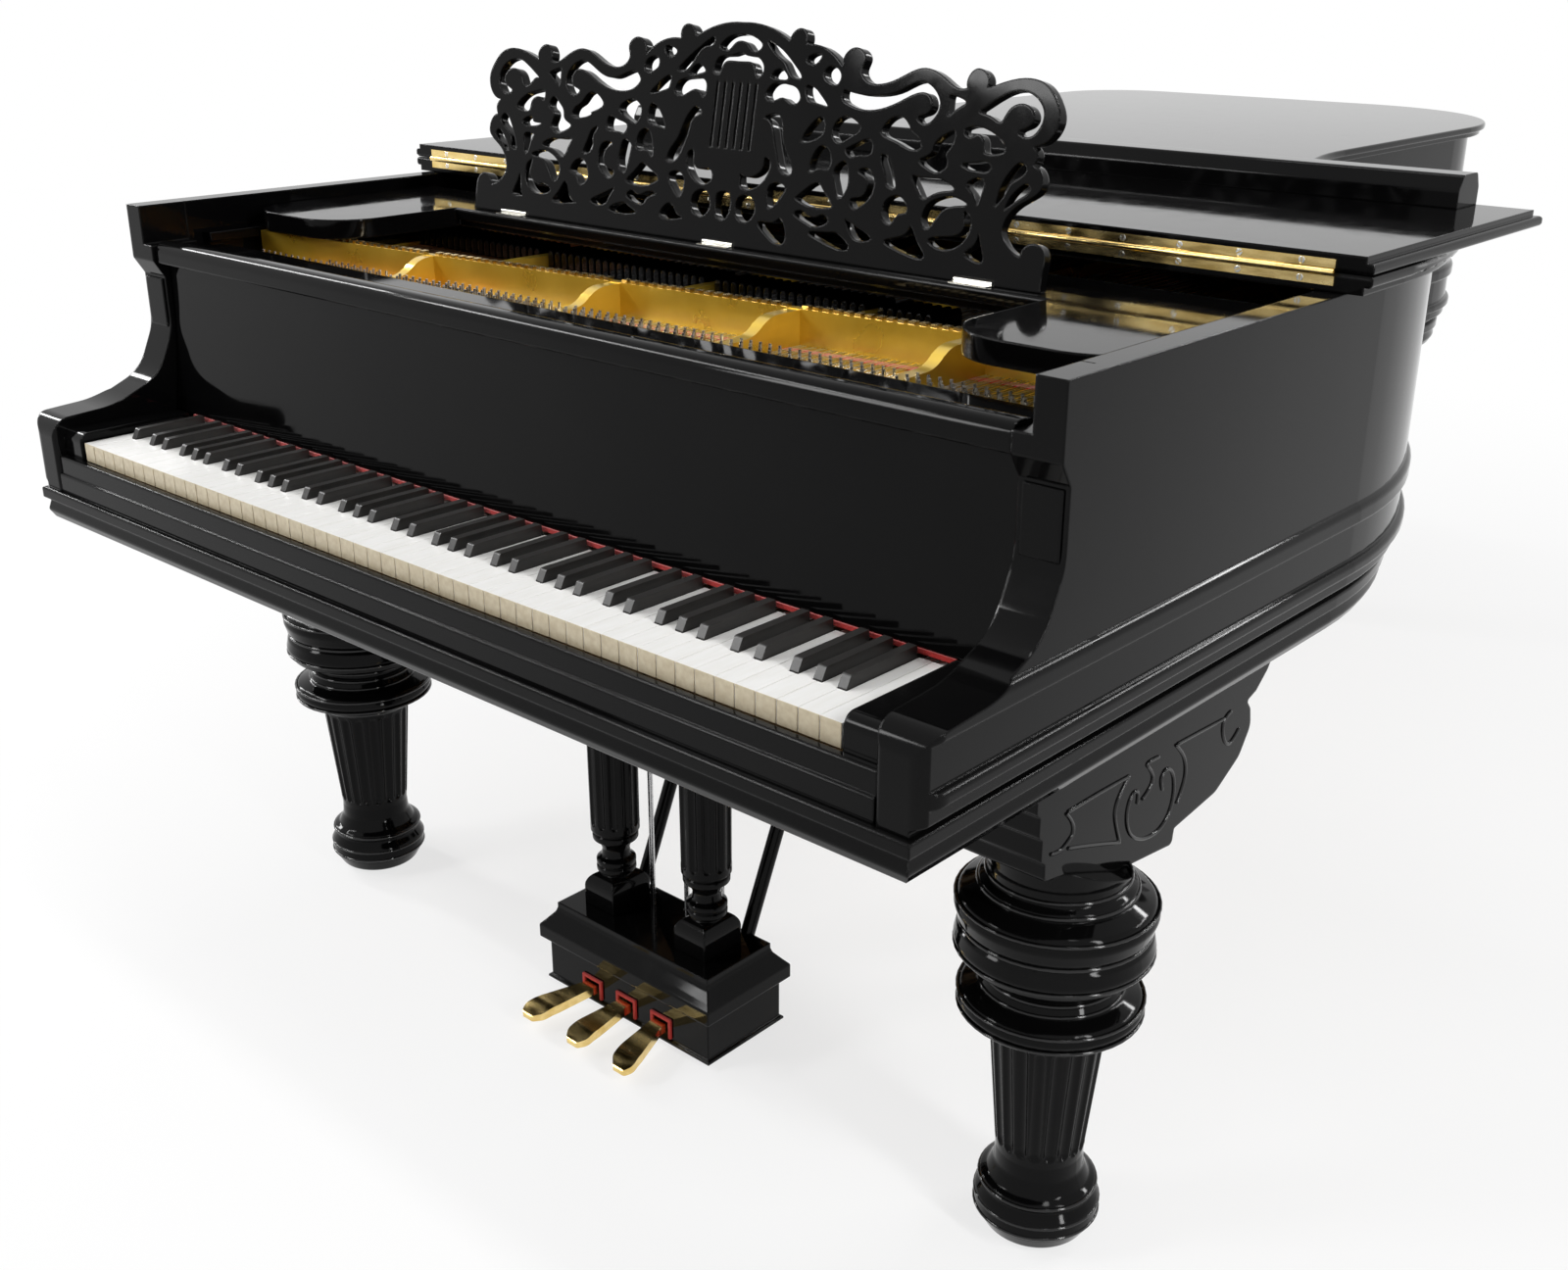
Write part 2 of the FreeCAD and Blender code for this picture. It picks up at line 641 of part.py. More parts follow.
# Pin block, and the black board that hides its front edge.
pin_block = box(-INNER, INNER, PINBLOCK_FRONT, PINBLOCK_FRONT + PINBLOCK_DEPTH, PINBLOCK_BOTTOM, PLATE_BOTTOM)
pieces["pin_block"] = pin_block
board_side = [
    (BOARD_FRONT, PLATE_BOTTOM),
    (BOARD_FRONT, BOARD_TOP, 6),
    (PLATE_FRONT - 3, BOARD_TOP, 6),
    (PLATE_FRONT - 3, PLATE_BOTTOM),
]
pieces["front_board"] = prism_x(board_side, -ARM_INNER + FIT, ARM_INNER - FIT)

# Cast plate: edge band, web over the pin block, slanting wall, gussets, long bars and the bracket of the lid prop.
plate_in = slab(-WALL - PLATE_BAND, 0, SOUNDBOARD_Z, RIM_TOP)
band = slab(-WALL, BELLY_Y, SOUNDBOARD_Z + SOUNDBOARD, PLATE_TOP).cut(plate_in)
web = prism_z(
    [
        (-INNER, PLATE_FRONT),
        (INNER, PLATE_FRONT),
        (INNER, WALL_TREBLE_Y + WALL_THICK),
        (-INNER, WALL_BASS_Y + WALL_THICK),
    ],
    PLATE_BOTTOM,
    PLATE_TOP,
)
wall_end = INNER - RUNNER_WIDTH - 3
wall = prism_z(
    [
        (-wall_end, wall_y(-wall_end)),
        (wall_end, wall_y(wall_end)),
        (wall_end, wall_y(wall_end) + WALL_THICK),
        (-wall_end, wall_y(-wall_end) + WALL_THICK),
    ],
    PLATE_BOTTOM,
    WALL_TOP,
)
cast = [band, web, wall]
interior = slab(-WALL, ARM_BACK, PLATE_BOTTOM, RIM_TOP)
for side in (-1, 1):
    edge = INNER - PLATE_BAND / 2
    cast.append(box(side * edge - PLATE_BAND / 2, side * edge + PLATE_BAND / 2, WALL_BASS_Y, BELLY_Y,
                    PLATE_BOTTOM, PLATE_TOP))
for first in BAR_NOTES:
    x = (note_x(first - 1) + note_x(first)) / 2
    low = x - BAR_WIDTH / 2
    high = x + BAR_WIDTH / 2
    start = wall_y(x)
    bar = box(low, high, start, TAIL_Y, PLATE_TOP, PLATE_TOP + BAR_RISE)
    cast.append(bar.common(interior))
    gusset = [
        (PLATE_FRONT + 8, PLATE_BOTTOM),
        (PLATE_FRONT + 8, BOARD_TOP - 10),
        ((PLATE_FRONT + start) / 2, BOARD_TOP - 8, 40),
        ((PLATE_FRONT + start) / 2 + 18, WALL_TOP - 1, 40),
        (start + WALL_THICK / 2, WALL_TOP - 1),
        (start + WALL_THICK / 2, PLATE_BOTTOM),
    ]
    cast.append(prism_x(gusset, low, high))
prop_y = bent_side_y(PROP_X, -WALL) - PROP_INSET
reach_x = INNER - PROP_TIP_INSET - PROP_X
reach_y = PROP_TIP_Y - prop_y
prop_length = hypot(reach_x, reach_y)
prop_turn = degrees(atan2(reach_y, reach_x))
pivot = Vector(PROP_X, prop_y, PROP_Z)
bracket = box(-18, 18, PROP_WIDTH / 2 + 1, WALL + 8, PLATE_BOTTOM - PROP_Z, PROP_DEPTH / 2)
bracket = bracket.fuse(rod((0, -PROP_WIDTH / 2, 0), (0, PROP_WIDTH / 2 + 2, 0), PROP_PIN))
bracket.rotate(Vector(0, 0, 0), Vector(0, 0, 1), prop_turn)
bracket.translate(pivot)
cast.append(bracket.common(interior))
pieces["iron_plate"] = fused(cast)

# Tuning pins on the web, agraffes on the wall, and the strings: wound in the bass, plain steel above.
tuning = []
agraffes = []
wound = []
plain = []
for note in range(NOTES):
    centre = note_x(note)
    offsets = strings_of(note)
    radius = WOUND_R if note < WOUND_NOTES else STEEL_R
    store = wound if note < WOUND_NOTES else plain
    front = wall_y(centre)
    post = box(centre - 4, centre + 4, front + 1, front + WALL_THICK - 1, WALL_TOP, WALL_TOP + AGRAFFE)
    agraffes.append(post)
    for row, offset in enumerate(offsets):
        x = centre + offset
        pin_y = PLATE_FRONT + 12 + 11 * row
        tuning.append(rod((x, pin_y, PLATE_TOP), (x, pin_y, PLATE_TOP + PIN_HEIGHT), PIN_R / 2))
        end = bent_side_y(x, -WALL - PLATE_BAND + 14)
        back = wall_y(x) + WALL_THICK + 1
        store.append(rod((x, pin_y + PIN_R / 2 + FIT, STRING_Z), (x, wall_y(x) - 1, STRING_Z), radius))
        store.append(rod((x, back, STRING_Z), (x, end, STRING_Z), radius))
pieces["tuning_pins"] = Part.makeCompound(tuning)
pieces["agraffes"] = Part.makeCompound(agraffes)
pieces["bass_strings"] = Part.makeCompound(wound)
pieces["treble_strings"] = Part.makeCompound(plain)

# Damper heads resting on the strings.
heads = []
for note in range(DAMPER_NOTES):
    x = note_x(note)
    low = STRING_Z + FIT + (WOUND_R if note < WOUND_NOTES else STEEL_R)
    profile = [
        (x - 4.4, low),
        (x + 4.4, low),
        (x + 4.4, low + DAMPER_HEIGHT - 4, 2),
        (x + 2.4, low + DAMPER_HEIGHT),
        (x - 2.4, low + DAMPER_HEIGHT),
        (x - 4.4, low + DAMPER_HEIGHT - 4, 2),
    ]
    heads.append(prism_y(profile, DAMPER_Y, DAMPER_Y + DAMPER_LENGTH))
pieces["dampers"] = Part.makeCompound(heads)

# Key frame: three rails on the keybed, end arms, and the hammer rail on two posts.
frame_low = BASE_TOP + FIT
rail_half = KEYS_HALF
end_low = KEYS_HALF + 2 * KEY_GAP
end_high = end_low + 12
rail_front = slip_back + 12
front_rail = box(-rail_half, rail_half, rail_front, rail_front + FRAME_RAIL, frame_low, KEY_BOTTOM - DIP_ROOM)
balance_z = KEY_BOTTOM - FIT - BALANCE_R
balance = box(-rail_half, rail_half, BALANCE_Y - FRAME_RAIL / 2, BALANCE_Y + FRAME_RAIL / 2, frame_low, balance_z)
bearing = rod((-rail_half, BALANCE_Y, balance_z), (rail_half, BALANCE_Y, balance_z), BALANCE_R)
back_rail = box(-rail_half, rail_half, KEY_LENGTH - FRAME_RAIL, KEY_LENGTH, frame_low, KEY_BOTTOM - FIT)
post_low = HAMMER_PIVOT_Y - 9
post_high = HAMMER_PIVOT_Y + 9
hammer_rail = [rod((-end_high, HAMMER_PIVOT_Y, HAMMER_PIVOT_Z), (end_high, HAMMER_PIVOT_Y, HAMMER_PIVOT_Z), RAIL_R)]
sill = box(rail_half - 14, rail_half, rail_front, KEY_LENGTH, frame_low, frame_low + 14)
foot = box(rail_half - 14, end_high, post_low, post_high, frame_low, frame_low + 14)
post = box(end_low, end_high, post_low, post_high, frame_low, HAMMER_PIVOT_Z + 9)
ends = [sill, foot, post]
action = [front_rail, balance, bearing, back_rail] + ends + [mirrored(e) for e in ends] + hammer_rail
pieces["key_frame"] = fused(action)

# Keys, sorted by pitch so that neighbours never share a group. The lowest note is an A.
NAMES = ("c", "c_sharp", "d", "d_sharp", "e", "f", "f_sharp", "g", "g_sharp", "a", "a_sharp", "b")
GROUPS = {
    "naturals_ceg": ("c", "e", "g"),
    "naturals_dfa": ("d", "f", "a"),
    "naturals_b": ("b",),
    "sharps_cfa": ("c_sharp", "f_sharp", "a_sharp"),
    "sharps_dg": ("d_sharp", "g_sharp"),
}
SHARP_SHIFT = {"c_sharp": -2.2, "d_sharp": 2.2, "f_sharp": -3.2, "g_sharp": 0.0, "a_sharp": 3.2}
group_of = {name: group for group, names in GROUPS.items() for name in names}
keys = {group: [] for group in GROUPS}
hammers = {group: [] for group in GROUPS}
natural = 0
layout = []
for note in range(NOTES):
    name = NAMES[(note + 9) % 12]
    if "sharp" in name:
        layout.append((name, -KEYS_HALF + natural * KEY_PITCH + SHARP_SHIFT[name]))
        continue
    layout.append((name, -KEYS_HALF + (natural + 0.5) * KEY_PITCH))
    natural = natural + 1
sharp_half = SHARP_WIDTH / 2
for note, (name, x) in enumerate(layout):
    if "sharp" in name:
        side = [
            (HEAD_LENGTH + 1, KEY_TOP - KEY_COVER),
            (HEAD_LENGTH + 1, KEY_TOP + 1, 1),
            (HEAD_LENGTH + 7, KEY_TOP + SHARP_RISE, 3),
            (SHARP_END, KEY_TOP + SHARP_RISE, 1),
            (SHARP_END, KEY_TOP - KEY_COVER),
        ]
        low = x - sharp_half
        high = x + sharp_half
        lever = box(low, high, HEAD_LENGTH + 1, KEY_LENGTH, KEY_BOTTOM, KEY_TOP - KEY_COVER)
        keys[group_of[name]] += [lever, prism_x(side, low, high)]
    else:
        low = x - KEY_PITCH / 2 + KEY_GAP / 2
        high = x + KEY_PITCH / 2 - KEY_GAP / 2
        tail_low = low
        tail_high = high
        if note > 0 and "sharp" in layout[note - 1][0]:
            tail_low = layout[note - 1][1] + sharp_half + KEY_GAP
        if note + 1 < NOTES and "sharp" in layout[note + 1][0]:
            tail_high = layout[note + 1][1] - sharp_half - KEY_GAP
        plan = [(low, 0, 1), (high, 0, 1), (high, HEAD_LENGTH)]
        if tail_high < high:
            plan.append((tail_high, HEAD_LENGTH))
        plan += [(tail_high, KEY_LENGTH), (tail_low, KEY_LENGTH)]
        if tail_low > low:
            plan.append((tail_low, HEAD_LENGTH))
        plan.append((low, HEAD_LENGTH))
        key = prism_z(plan, KEY_BOTTOM, KEY_TOP - KEY_COVER)
        shown = [(p[0], min(p[1], FALL_FOOT_Y - 3)) + p[2:] for p in plan]
        key = key.fuse(prism_z(shown, KEY_TOP - KEY_COVER, KEY_TOP)).removeSplitter()
        keys[group_of[name]].append(key)
    across = note_x(note)
    reach = HAMMER_PIVOT_Y + HAMMER_REACH
    profile = [
        (HAMMER_PIVOT_Y - 7, HAMMER_PIVOT_Z - 6, 3),
        (HAMMER_PIVOT_Y + 9, HAMMER_PIVOT_Z - 6, 2),
        (HAMMER_PIVOT_Y + 14, HAMMER_PIVOT_Z - 3, 2),
        (reach - 6, HAMMER_PIVOT_Z - 3),
        (reach - 5, HAMMER_PIVOT_Z - 12, 2),
        (reach + 5, HAMMER_PIVOT_Z - 12, 2),
        (reach + 7, HAMMER_TOP - 20, 6),
        (reach + 9, HAMMER_TOP - 10, 5),
        (reach, HAMMER_TOP, 4),
        (reach - 9, HAMMER_TOP - 10, 5),
        (reach - 7, HAMMER_TOP - 20, 6),
        (reach - 6, HAMMER_PIVOT_Z + 3),
        (HAMMER_PIVOT_Y + 14, HAMMER_PIVOT_Z + 3, 2),
        (HAMMER_PIVOT_Y + 9, HAMMER_PIVOT_Z + 6, 2),
        (HAMMER_PIVOT_Y - 7, HAMMER_PIVOT_Z + 6, 3),
    ]
    hammer = prism_x(profile, across - HAMMER_WIDTH / 2, across + HAMMER_WIDTH / 2)
    eye = rod(
        (across - HAMMER_WIDTH, HAMMER_PIVOT_Y, HAMMER_PIVOT_Z),
        (across + HAMMER_WIDTH, HAMMER_PIVOT_Y, HAMMER_PIVOT_Z),
        RAIL_R + FIT,
    )
    hammers[group_of[name]].append(hammer.cut(eye))
for group in GROUPS:
    pieces[group] = Part.makeCompound(keys[group])
    pieces["hammers_" + group] = Part.makeCompound(hammers[group])

# Fallboard: hollow front face, pivot pins at both ends, half-round rail on top, red felt strip at the foot.
sag_y = (FALL_FOOT_Y + FALL_TOP_Y) / 2 + FALL_SAG
sag_z = (FALL_FOOT_Z + FALL_TOP_Z) / 2
front_arc = Part.Arc(
    Vector(-FALL_HALF, FALL_FOOT_Y, FALL_FOOT_Z),
    Vector(-FALL_HALF, sag_y, sag_z),
    Vector(-FALL_HALF, FALL_TOP_Y, FALL_TOP_Z),
)
back_arc = Part.Arc(
    Vector(-FALL_HALF, FALL_TOP_Y + FALL_THICK, FALL_TOP_Z),
    Vector(-FALL_HALF, sag_y + FALL_THICK, sag_z),
    Vector(-FALL_HALF, FALL_FOOT_Y + FALL_THICK, FALL_FOOT_Z),
)
fall_wire = Part.Wire([
    front_arc.toShape(),
    Part.makeLine(front_arc.EndPoint, back_arc.StartPoint),
    back_arc.toShape(),
    Part.makeLine(back_arc.EndPoint, front_arc.StartPoint),
])
fallboard = Part.Face(fall_wire).extrude(Vector(2 * FALL_HALF, 0, 0))
pins = []
for side in (-1, 1):
    pins.append(rod(
        (side * (FALL_HALF - 20), FALL_PIVOT_Y, FALL_PIVOT_Z),
        (side * (FALL_HALF + FALL_PIN_LENGTH), FALL_PIVOT_Y, FALL_PIVOT_Z),
        FALL_PIN_R,
    ))
pieces["fallboard"] = fused([fallboard] + pins)
rail_middle = FALL_TOP_Y
rail = [
    (rail_middle - RAIL_DEPTH / 2, FALL_TOP_Z, 3),
    (rail_middle - RAIL_DEPTH / 2, FALL_TOP_Z + RAIL_HEIGHT, 14),
    (rail_middle + RAIL_DEPTH / 2, FALL_TOP_Z + RAIL_HEIGHT, 14),
    (rail_middle + RAIL_DEPTH / 2, FALL_TOP_Z, 3),
]
pieces["fallboard_rail"] = prism_x(rail, -FALL_HALF, FALL_HALF)
pieces["key_felt"] = box(
    -KEYS_HALF, KEYS_HALF,
    FALL_FOOT_Y - 2, FALL_FOOT_Y + FELT_HEIGHT,
    FALL_FOOT_Z - FELT_THICK - 2, FALL_FOOT_Z,
)

# Main lid with a lipped edge, and the lower half of the long hinge on its front edge.
lid_front = HINGE_Y + LEAF + HINGE_GAP / 2


def rounded_edges(solid, radius, keep):
    """Round the horizontal edges of a plate whose middle passes the test."""
    chosen = []
    for edge in solid.Edges:
        box_of = edge.BoundBox
        if box_of.ZLength < 1e-6 and keep(edge.CenterOfMass):
            chosen.append(edge)
    return solid.makeFillet(radius, chosen)


hinge_groove = rod(
    (-HALF_WIDTH - LID_OVERHANG, HINGE_Y, HINGE_Z),
    (HALF_WIDTH + LID_OVERHANG, HINGE_Y, HINGE_Z),
    KNUCKLE_R + HINGE_GAP,
)
lip = slab(LID_OVERHANG, lid_front, LID_TOP - LID_LIP, LID_TOP)
lip = rounded_edges(lip, LID_ROUND, lambda p: p.y > lid_front + 1)
under = slab(LID_OVERHANG - LID_UNDERCUT, lid_front, LID_BOTTOM, LID_TOP - LID_LIP)
pieces["main_lid"] = fused([lip, under]).cut(hinge_groove)


def hinge_half(up, bore, first):
    """Leaf and every second knuckle of the long hinge; up is 1 for the flap's half and -1 for the lid's."""
    leaf_y = HINGE_Y + HINGE_GAP / 2
    near = HINGE_Z + up * (KNUCKLE_R + HINGE_GAP)
    far = HINGE_Z + up * LEAF_HEIGHT
    parts = [box(-LEAF_HALF, LEAF_HALF, leaf_y, leaf_y + LEAF, min(near, far), max(near, far))]
    length = 2 * LEAF_HALF / KNUCKLES
    for number in range(first, KNUCKLES, 2):
        low = -LEAF_HALF + number * length + HINGE_GAP / 2
        high = low + length - HINGE_GAP
        parts.append(rod((low, HINGE_Y, HINGE_Z), (high, HINGE_Y, HINGE_Z), KNUCKLE_R))
        inner = HINGE_Z + up * HINGE_PIN_R
        parts.append(box(low, high, leaf_y, leaf_y + LEAF, min(inner, near), max(inner, near)))
    hole = rod((-LEAF_HALF - 1, HINGE_Y, HINGE_Z), (LEAF_HALF + 1, HINGE_Y, HINGE_Z), bore)
    return fused(parts).cut(hole)


hinge_pin = rod((-LEAF_HALF, HINGE_Y, HINGE_Z), (LEAF_HALF, HINGE_Y, HINGE_Z), HINGE_PIN_R)
pieces["lid_hinge_leaf"] = Part.makeCompound([hinge_half(-1, HINGE_PIN_R, 0), hinge_pin])
pieces["flap_hinge_leaf"] = hinge_half(1, HINGE_PIN_R + 0.15, 1)

# Front flap folded back on the lid, upside down, with the bar along its free edge.
flap_half = HALF_WIDTH + LID_OVERHANG
free_edge = HINGE_Y + FLAP_DEPTH
flap_lip = box(-flap_half, flap_half, lid_front, free_edge, FLAP_BOTTOM, FLAP_BOTTOM + LID_LIP)
flap_lip = rounded_edges(flap_lip, LID_ROUND, lambda p: p.y > lid_front + 1)
flap_top = box(
    -flap_half + LID_UNDERCUT, flap_half - LID_UNDERCUT,
    lid_front, free_edge - LID_UNDERCUT,
    FLAP_BOTTOM + LID_LIP, FLAP_BOTTOM + FLAP_THICK,
)
pieces["front_flap"] = fused([flap_lip, flap_top]).cut(hinge_groove)
bar_low = FLAP_BOTTOM + FLAP_THICK
bar_back = free_edge - LID_UNDERCUT
bar_profile = [
    (bar_back - FLAP_BAR_DEPTH, bar_low),
    (bar_back, bar_low),
    (bar_back, bar_low + FLAP_BAR_HEIGHT * 0.55, 3),
    (bar_back - 8, bar_low + FLAP_BAR_HEIGHT, 5),
    (bar_back - FLAP_BAR_DEPTH + 10, bar_low + FLAP_BAR_HEIGHT, 5),
    (bar_back - FLAP_BAR_DEPTH, bar_low + FLAP_BAR_HEIGHT * 0.55, 6),
]
pieces["flap_bar"] = prism_x(bar_profile, -BAR_END, BAR_END)

# Hinges on the spine: a leaf on the rim with two knuckles and the pin, a leaf under the lid with the middle knuckle.
axis_x = -HALF_WIDTH - SPINE_AXIS_OUT
axis_z = RIM_TOP - SPINE_AXIS_DROP
rim_leaves = []
lid_leaves = []
third = SPINE_LENGTH / 3
first_hinge = HINGE_Y + FIRST_SPINE_HINGE
last_hinge = TAIL_Y - LAST_SPINE_HINGE
for start in (first_hinge, (first_hinge + last_hinge) / 2, last_hinge):
    rim_leaf = box(-HALF_WIDTH - SPINE_LEAF, -HALF_WIDTH, start, start + SPINE_LENGTH, axis_z - 24, axis_z)
    rim_parts = [rim_leaf]
    for low in (start, start + 2 * third):
        rim_parts.append(rod((axis_x, low, axis_z), (axis_x, low + third, axis_z), SPINE_KNUCKLE))
        rim_parts.append(box(axis_x, -HALF_WIDTH, low, low + third, axis_z - 2, axis_z))
    gap = box(axis_x - 10, -HALF_WIDTH - SPINE_LEAF, start + third - FIT, start + 2 * third + FIT, axis_z - 9, axis_z + 9)
    rim_parts = [fused(rim_parts).cut(gap)]
    rim_parts.append(rod((axis_x, start, axis_z), (axis_x, start + SPINE_LENGTH, axis_z), SPINE_KNUCKLE / 2))
    rim_leaves.append(fused(rim_parts))
    lid_leaf = box(
        axis_x - 12, -HALF_WIDTH - SPINE_LEAF,
        start, start + SPINE_LENGTH,
        LID_BOTTOM - SPINE_LEAF, LID_BOTTOM,
    )
    middle = rod((axis_x, start + third, axis_z), (axis_x, start + 2 * third, axis_z), SPINE_KNUCKLE)
    neck = box(axis_x - 2, axis_x + 2, start + third, start + 2 * third, axis_z, LID_BOTTOM - SPINE_LEAF)
    bore = rod((axis_x, start, axis_z), (axis_x, start + SPINE_LENGTH, axis_z), SPINE_KNUCKLE / 2 + 0.15)
    lid_leaves.append(fused([lid_leaf, middle, neck]).cut(bore))
pieces["spine_hinges"] = Part.makeCompound(rim_leaves)
pieces["spine_hinge_leaves"] = Part.makeCompound(lid_leaves)

# Lid prop lying under the lid on its pivot.
stick_side = [
    (-12, -PROP_DEPTH / 2, 8),
    (prop_length, -PROP_DEPTH / 2, 3),
    (prop_length, PROP_DEPTH / 2, 3),
    (-12, PROP_DEPTH / 2, 8),
]
stick = prism_y(stick_side, -PROP_WIDTH / 2, PROP_WIDTH / 2)
stick = stick.cut(rod((0, -PROP_WIDTH, 0), (0, PROP_WIDTH, 0), PROP_PIN + 0.3))
stick.rotate(Vector(0, 0, 0), Vector(0, 0, 1), prop_turn)
stick.translate(pivot)
pieces["lid_prop"] = stick

# Runners on the rim, and the music shelf with a round-fronted tray at each end.
runner_top = SHELF_BOTTOM - FIT
runner = box(INNER - RUNNER_WIDTH, INNER, RUNNER_FRONT, RUNNER_BACK, runner_top - RUNNER_HEIGHT, runner_top)
pieces["shelf_runners"] = Part.makeCompound([runner, mirrored(runner)])
tray_outer = INNER - TRAY_SIDE_GAP
tray_plan = [
    (TRAY_INNER, TRAY_FRONT, TRAY_ROUND),
    (tray_outer, TRAY_FRONT, TRAY_ROUND),
    (tray_outer, SHELF_BACK),
    (TRAY_INNER, SHELF_BACK),
]
tray = prism_z(tray_plan, SHELF_BOTTOM, SHELF_TOP)
ledge_side = [
    (LEDGE_FRONT + 8, SHELF_BOTTOM),
    (LEDGE_FRONT + 8, SHELF_BOTTOM + 8),
    (LEDGE_FRONT, SHELF_BOTTOM + 10),
    (LEDGE_FRONT, SHELF_TOP, 4),
    (SHELF_BACK, SHELF_TOP),
    (SHELF_BACK, SHELF_BOTTOM),
]
ledge = prism_x(ledge_side, -TRAY_INNER - 1, TRAY_INNER + 1)
pieces["music_shelf"] = fused([ledge, tray, mirrored(tray)])

# Music desk: a board with a scrolled crest, pierced through. Points are (across, up) on the right half;
# each list of the crest is one smooth curve between two corners, each pierced opening one closed curve.
CREST = [
    [(0, 244), (40, 240), (72, 227)],
    [(72, 227), (76, 235), (85, 240), (95, 237), (98, 229), (97, 224)],
    [(97, 224), (125, 221), (152, 204)],
    [(152, 204), (154, 215), (163, 222), (176, 221), (183, 212), (180, 200), (188, 190), (202, 187), (228, 193),
     (262, 206), (290, 198), (312, 188), (320, 189)],
    [(320, 189), (320, 200), (328, 208), (338, 207), (346, 198), (345, 190)],
    [(345, 190), (365, 197), (392, 202), (415, 197), (430, 182), (437, 165), (431, 148), (412, 138)],
    [(412, 138), (418, 130), (415, 120)],
    [(415, 120), (426, 112), (428, 98), (418, 88), (402, 78), (392, 66), (389, 52), (397, 40), (415, 31)],
    [(415, 31), (419, 40), (430, 45), (441, 40), (445, 22), (DESK_HALF, -6)],
]
PIERCED = [
    [(160, 179), (200, 175), (235, 182), (262, 192), (281, 184), (289, 170), (283, 156), (270, 151), (263, 156),
     (274, 161), (279, 170), (273, 180), (259, 181), (240, 173), (215, 163), (190, 160), (166, 165), (158, 172)],
    [(341, 168), (360, 180), (385, 189), (405, 184), (417, 169), (413, 153), (400, 146), (391, 150), (402, 156),
     (407, 165), (400, 175), (386, 177), (374, 169), (368, 159), (352, 164)],
    [(301, 181), (312, 179), (321, 175), (310, 167), (302, 161), (300, 170)],
    [(326, 149), (340, 152), (358, 148), (372, 140), (378, 132), (366, 127), (353, 129), (351, 138), (342, 145),
     (330, 142)],
    [(311, 146), (298, 140), (289, 131), (286, 122), (273, 114), (284, 107), (302, 105), (309, 112), (306, 122),
     (312, 132)],
    [(218, 142), (225, 151), (240, 156), (250, 151), (258, 142), (270, 134), (272, 127), (262, 124), (238, 131)],
    [(268, 98), (290, 97), (312, 95), (322, 89), (303, 84), (284, 76), (275, 86)],
    [(329, 113), (338, 110), (350, 109), (361, 110), (364, 114), (360, 118), (345, 117)],
    [(341, 99), (358, 99), (357, 85), (354, 76), (346, 87)],
    [(376, 78), (380, 98), (389, 113), (401, 121), (407, 116), (392, 101), (383, 84)],
    [(388, 76), (393, 87), (402, 97), (411, 101), (415, 97), (408, 89), (397, 81)],
    [(286, 57), (292, 71), (308, 79), (328, 80), (341, 75), (326, 72), (312, 66), (303, 54), (295, 46)],
    [(300, 33), (312, 28), (330, 29), (344, 38), (350, 52), (346, 65), (340, 68), (342, 54), (334, 43), (318, 40)],
    [(352, 23), (371, 23), (366, 36), (361, 48), (357, 35)],
    [(250, 23), (293, 23), (284, 33), (274, 46), (266, 36)],
    [(233, 60), (239, 72), (258, 73), (265, 60), (254, 56), (246, 46), (236, 50)],
    [(224, 116), (232, 113), (240, 99), (245, 83), (237, 84), (230, 98)],
    [(165, 102), (175, 104), (180, 92), (180, 76), (172, 66), (164, 78)],
    [(172, 118), (188, 126), (206, 128), (207, 116), (190, 113), (179, 111)],
    [(195, 98), (208, 99), (217, 88), (215, 73), (204, 61), (192, 58), (187, 65), (202, 70), (208, 80), (204, 92)],
    [(150, 138), (160, 150), (178, 149), (188, 141), (173, 129), (160, 124)],
    [(132, 116), (141, 119), (151, 112), (150, 95), (138, 95), (126, 90)],
    [(47, 172), (58, 181), (78, 180), (92, 176), (97, 165), (90, 160), (72, 166), (52, 162)],
    [(107, 181), (118, 178), (130, 169), (138, 161), (122, 163), (109, 167)],
    [(129, 198), (140, 202), (152, 192), (148, 184), (138, 185), (130, 190)],
    [(101, 208), (110, 214), (121, 213), (116, 205), (108, 203)],
    [(42, 225), (62, 217), (84, 201), (95, 188), (86, 188), (70, 203), (48, 217)],
    [(52, 190), (60, 196), (70, 194), (76, 187), (64, 185)],
    [(108, 122), (118, 140), (134, 148), (138, 136), (124, 124)],
    [(24, 79), (46, 80), (55, 90), (57, 100), (63, 99), (64, 84), (53, 70), (36, 63), (24, 68)],
    [(20, 44), (26, 55), (38, 57), (50, 48), (48, 34), (36, 27), (24, 32)],
    [(50, 143), (60, 138), (68, 120), (76, 100), (86, 86), (98, 86), (96, 97), (86, 110), (78, 128), (64, 148)],
    [(110, 62), (126, 74), (140, 79), (150, 70), (163, 57), (145, 53), (125, 55)],
    [(66, 64), (76, 74), (92, 70), (86, 58), (72, 46)],
    [(63, 23), (100, 23), (90, 36), (76, 30)],
    [(112, 46), (124, 47), (140, 42), (152, 46), (160, 42), (146, 33), (128, 36)],
    [(142, 22), (188, 22), (174, 29), (156, 28)],
    [(184, 45), (200, 39), (222, 27), (208, 24), (192, 33)],
]
MIDDLE = [
    [(-32, 219), (-20, 228), (0, 231), (20, 228), (32, 219), (22, 213), (10, 221), (-10, 221), (-22, 213)],
    [(-38, 192), (-30, 206), (-12, 208), (0, 211), (12, 208), (30, 206), (38, 192), (31, 186), (24, 198), (8, 202),
     (-8, 202), (-24, 198), (-31, 186)],
    [(-9, 56), (0, 58), (9, 56), (12, 44), (8, 30), (0, 26), (-8, 30), (-12, 44)],
]


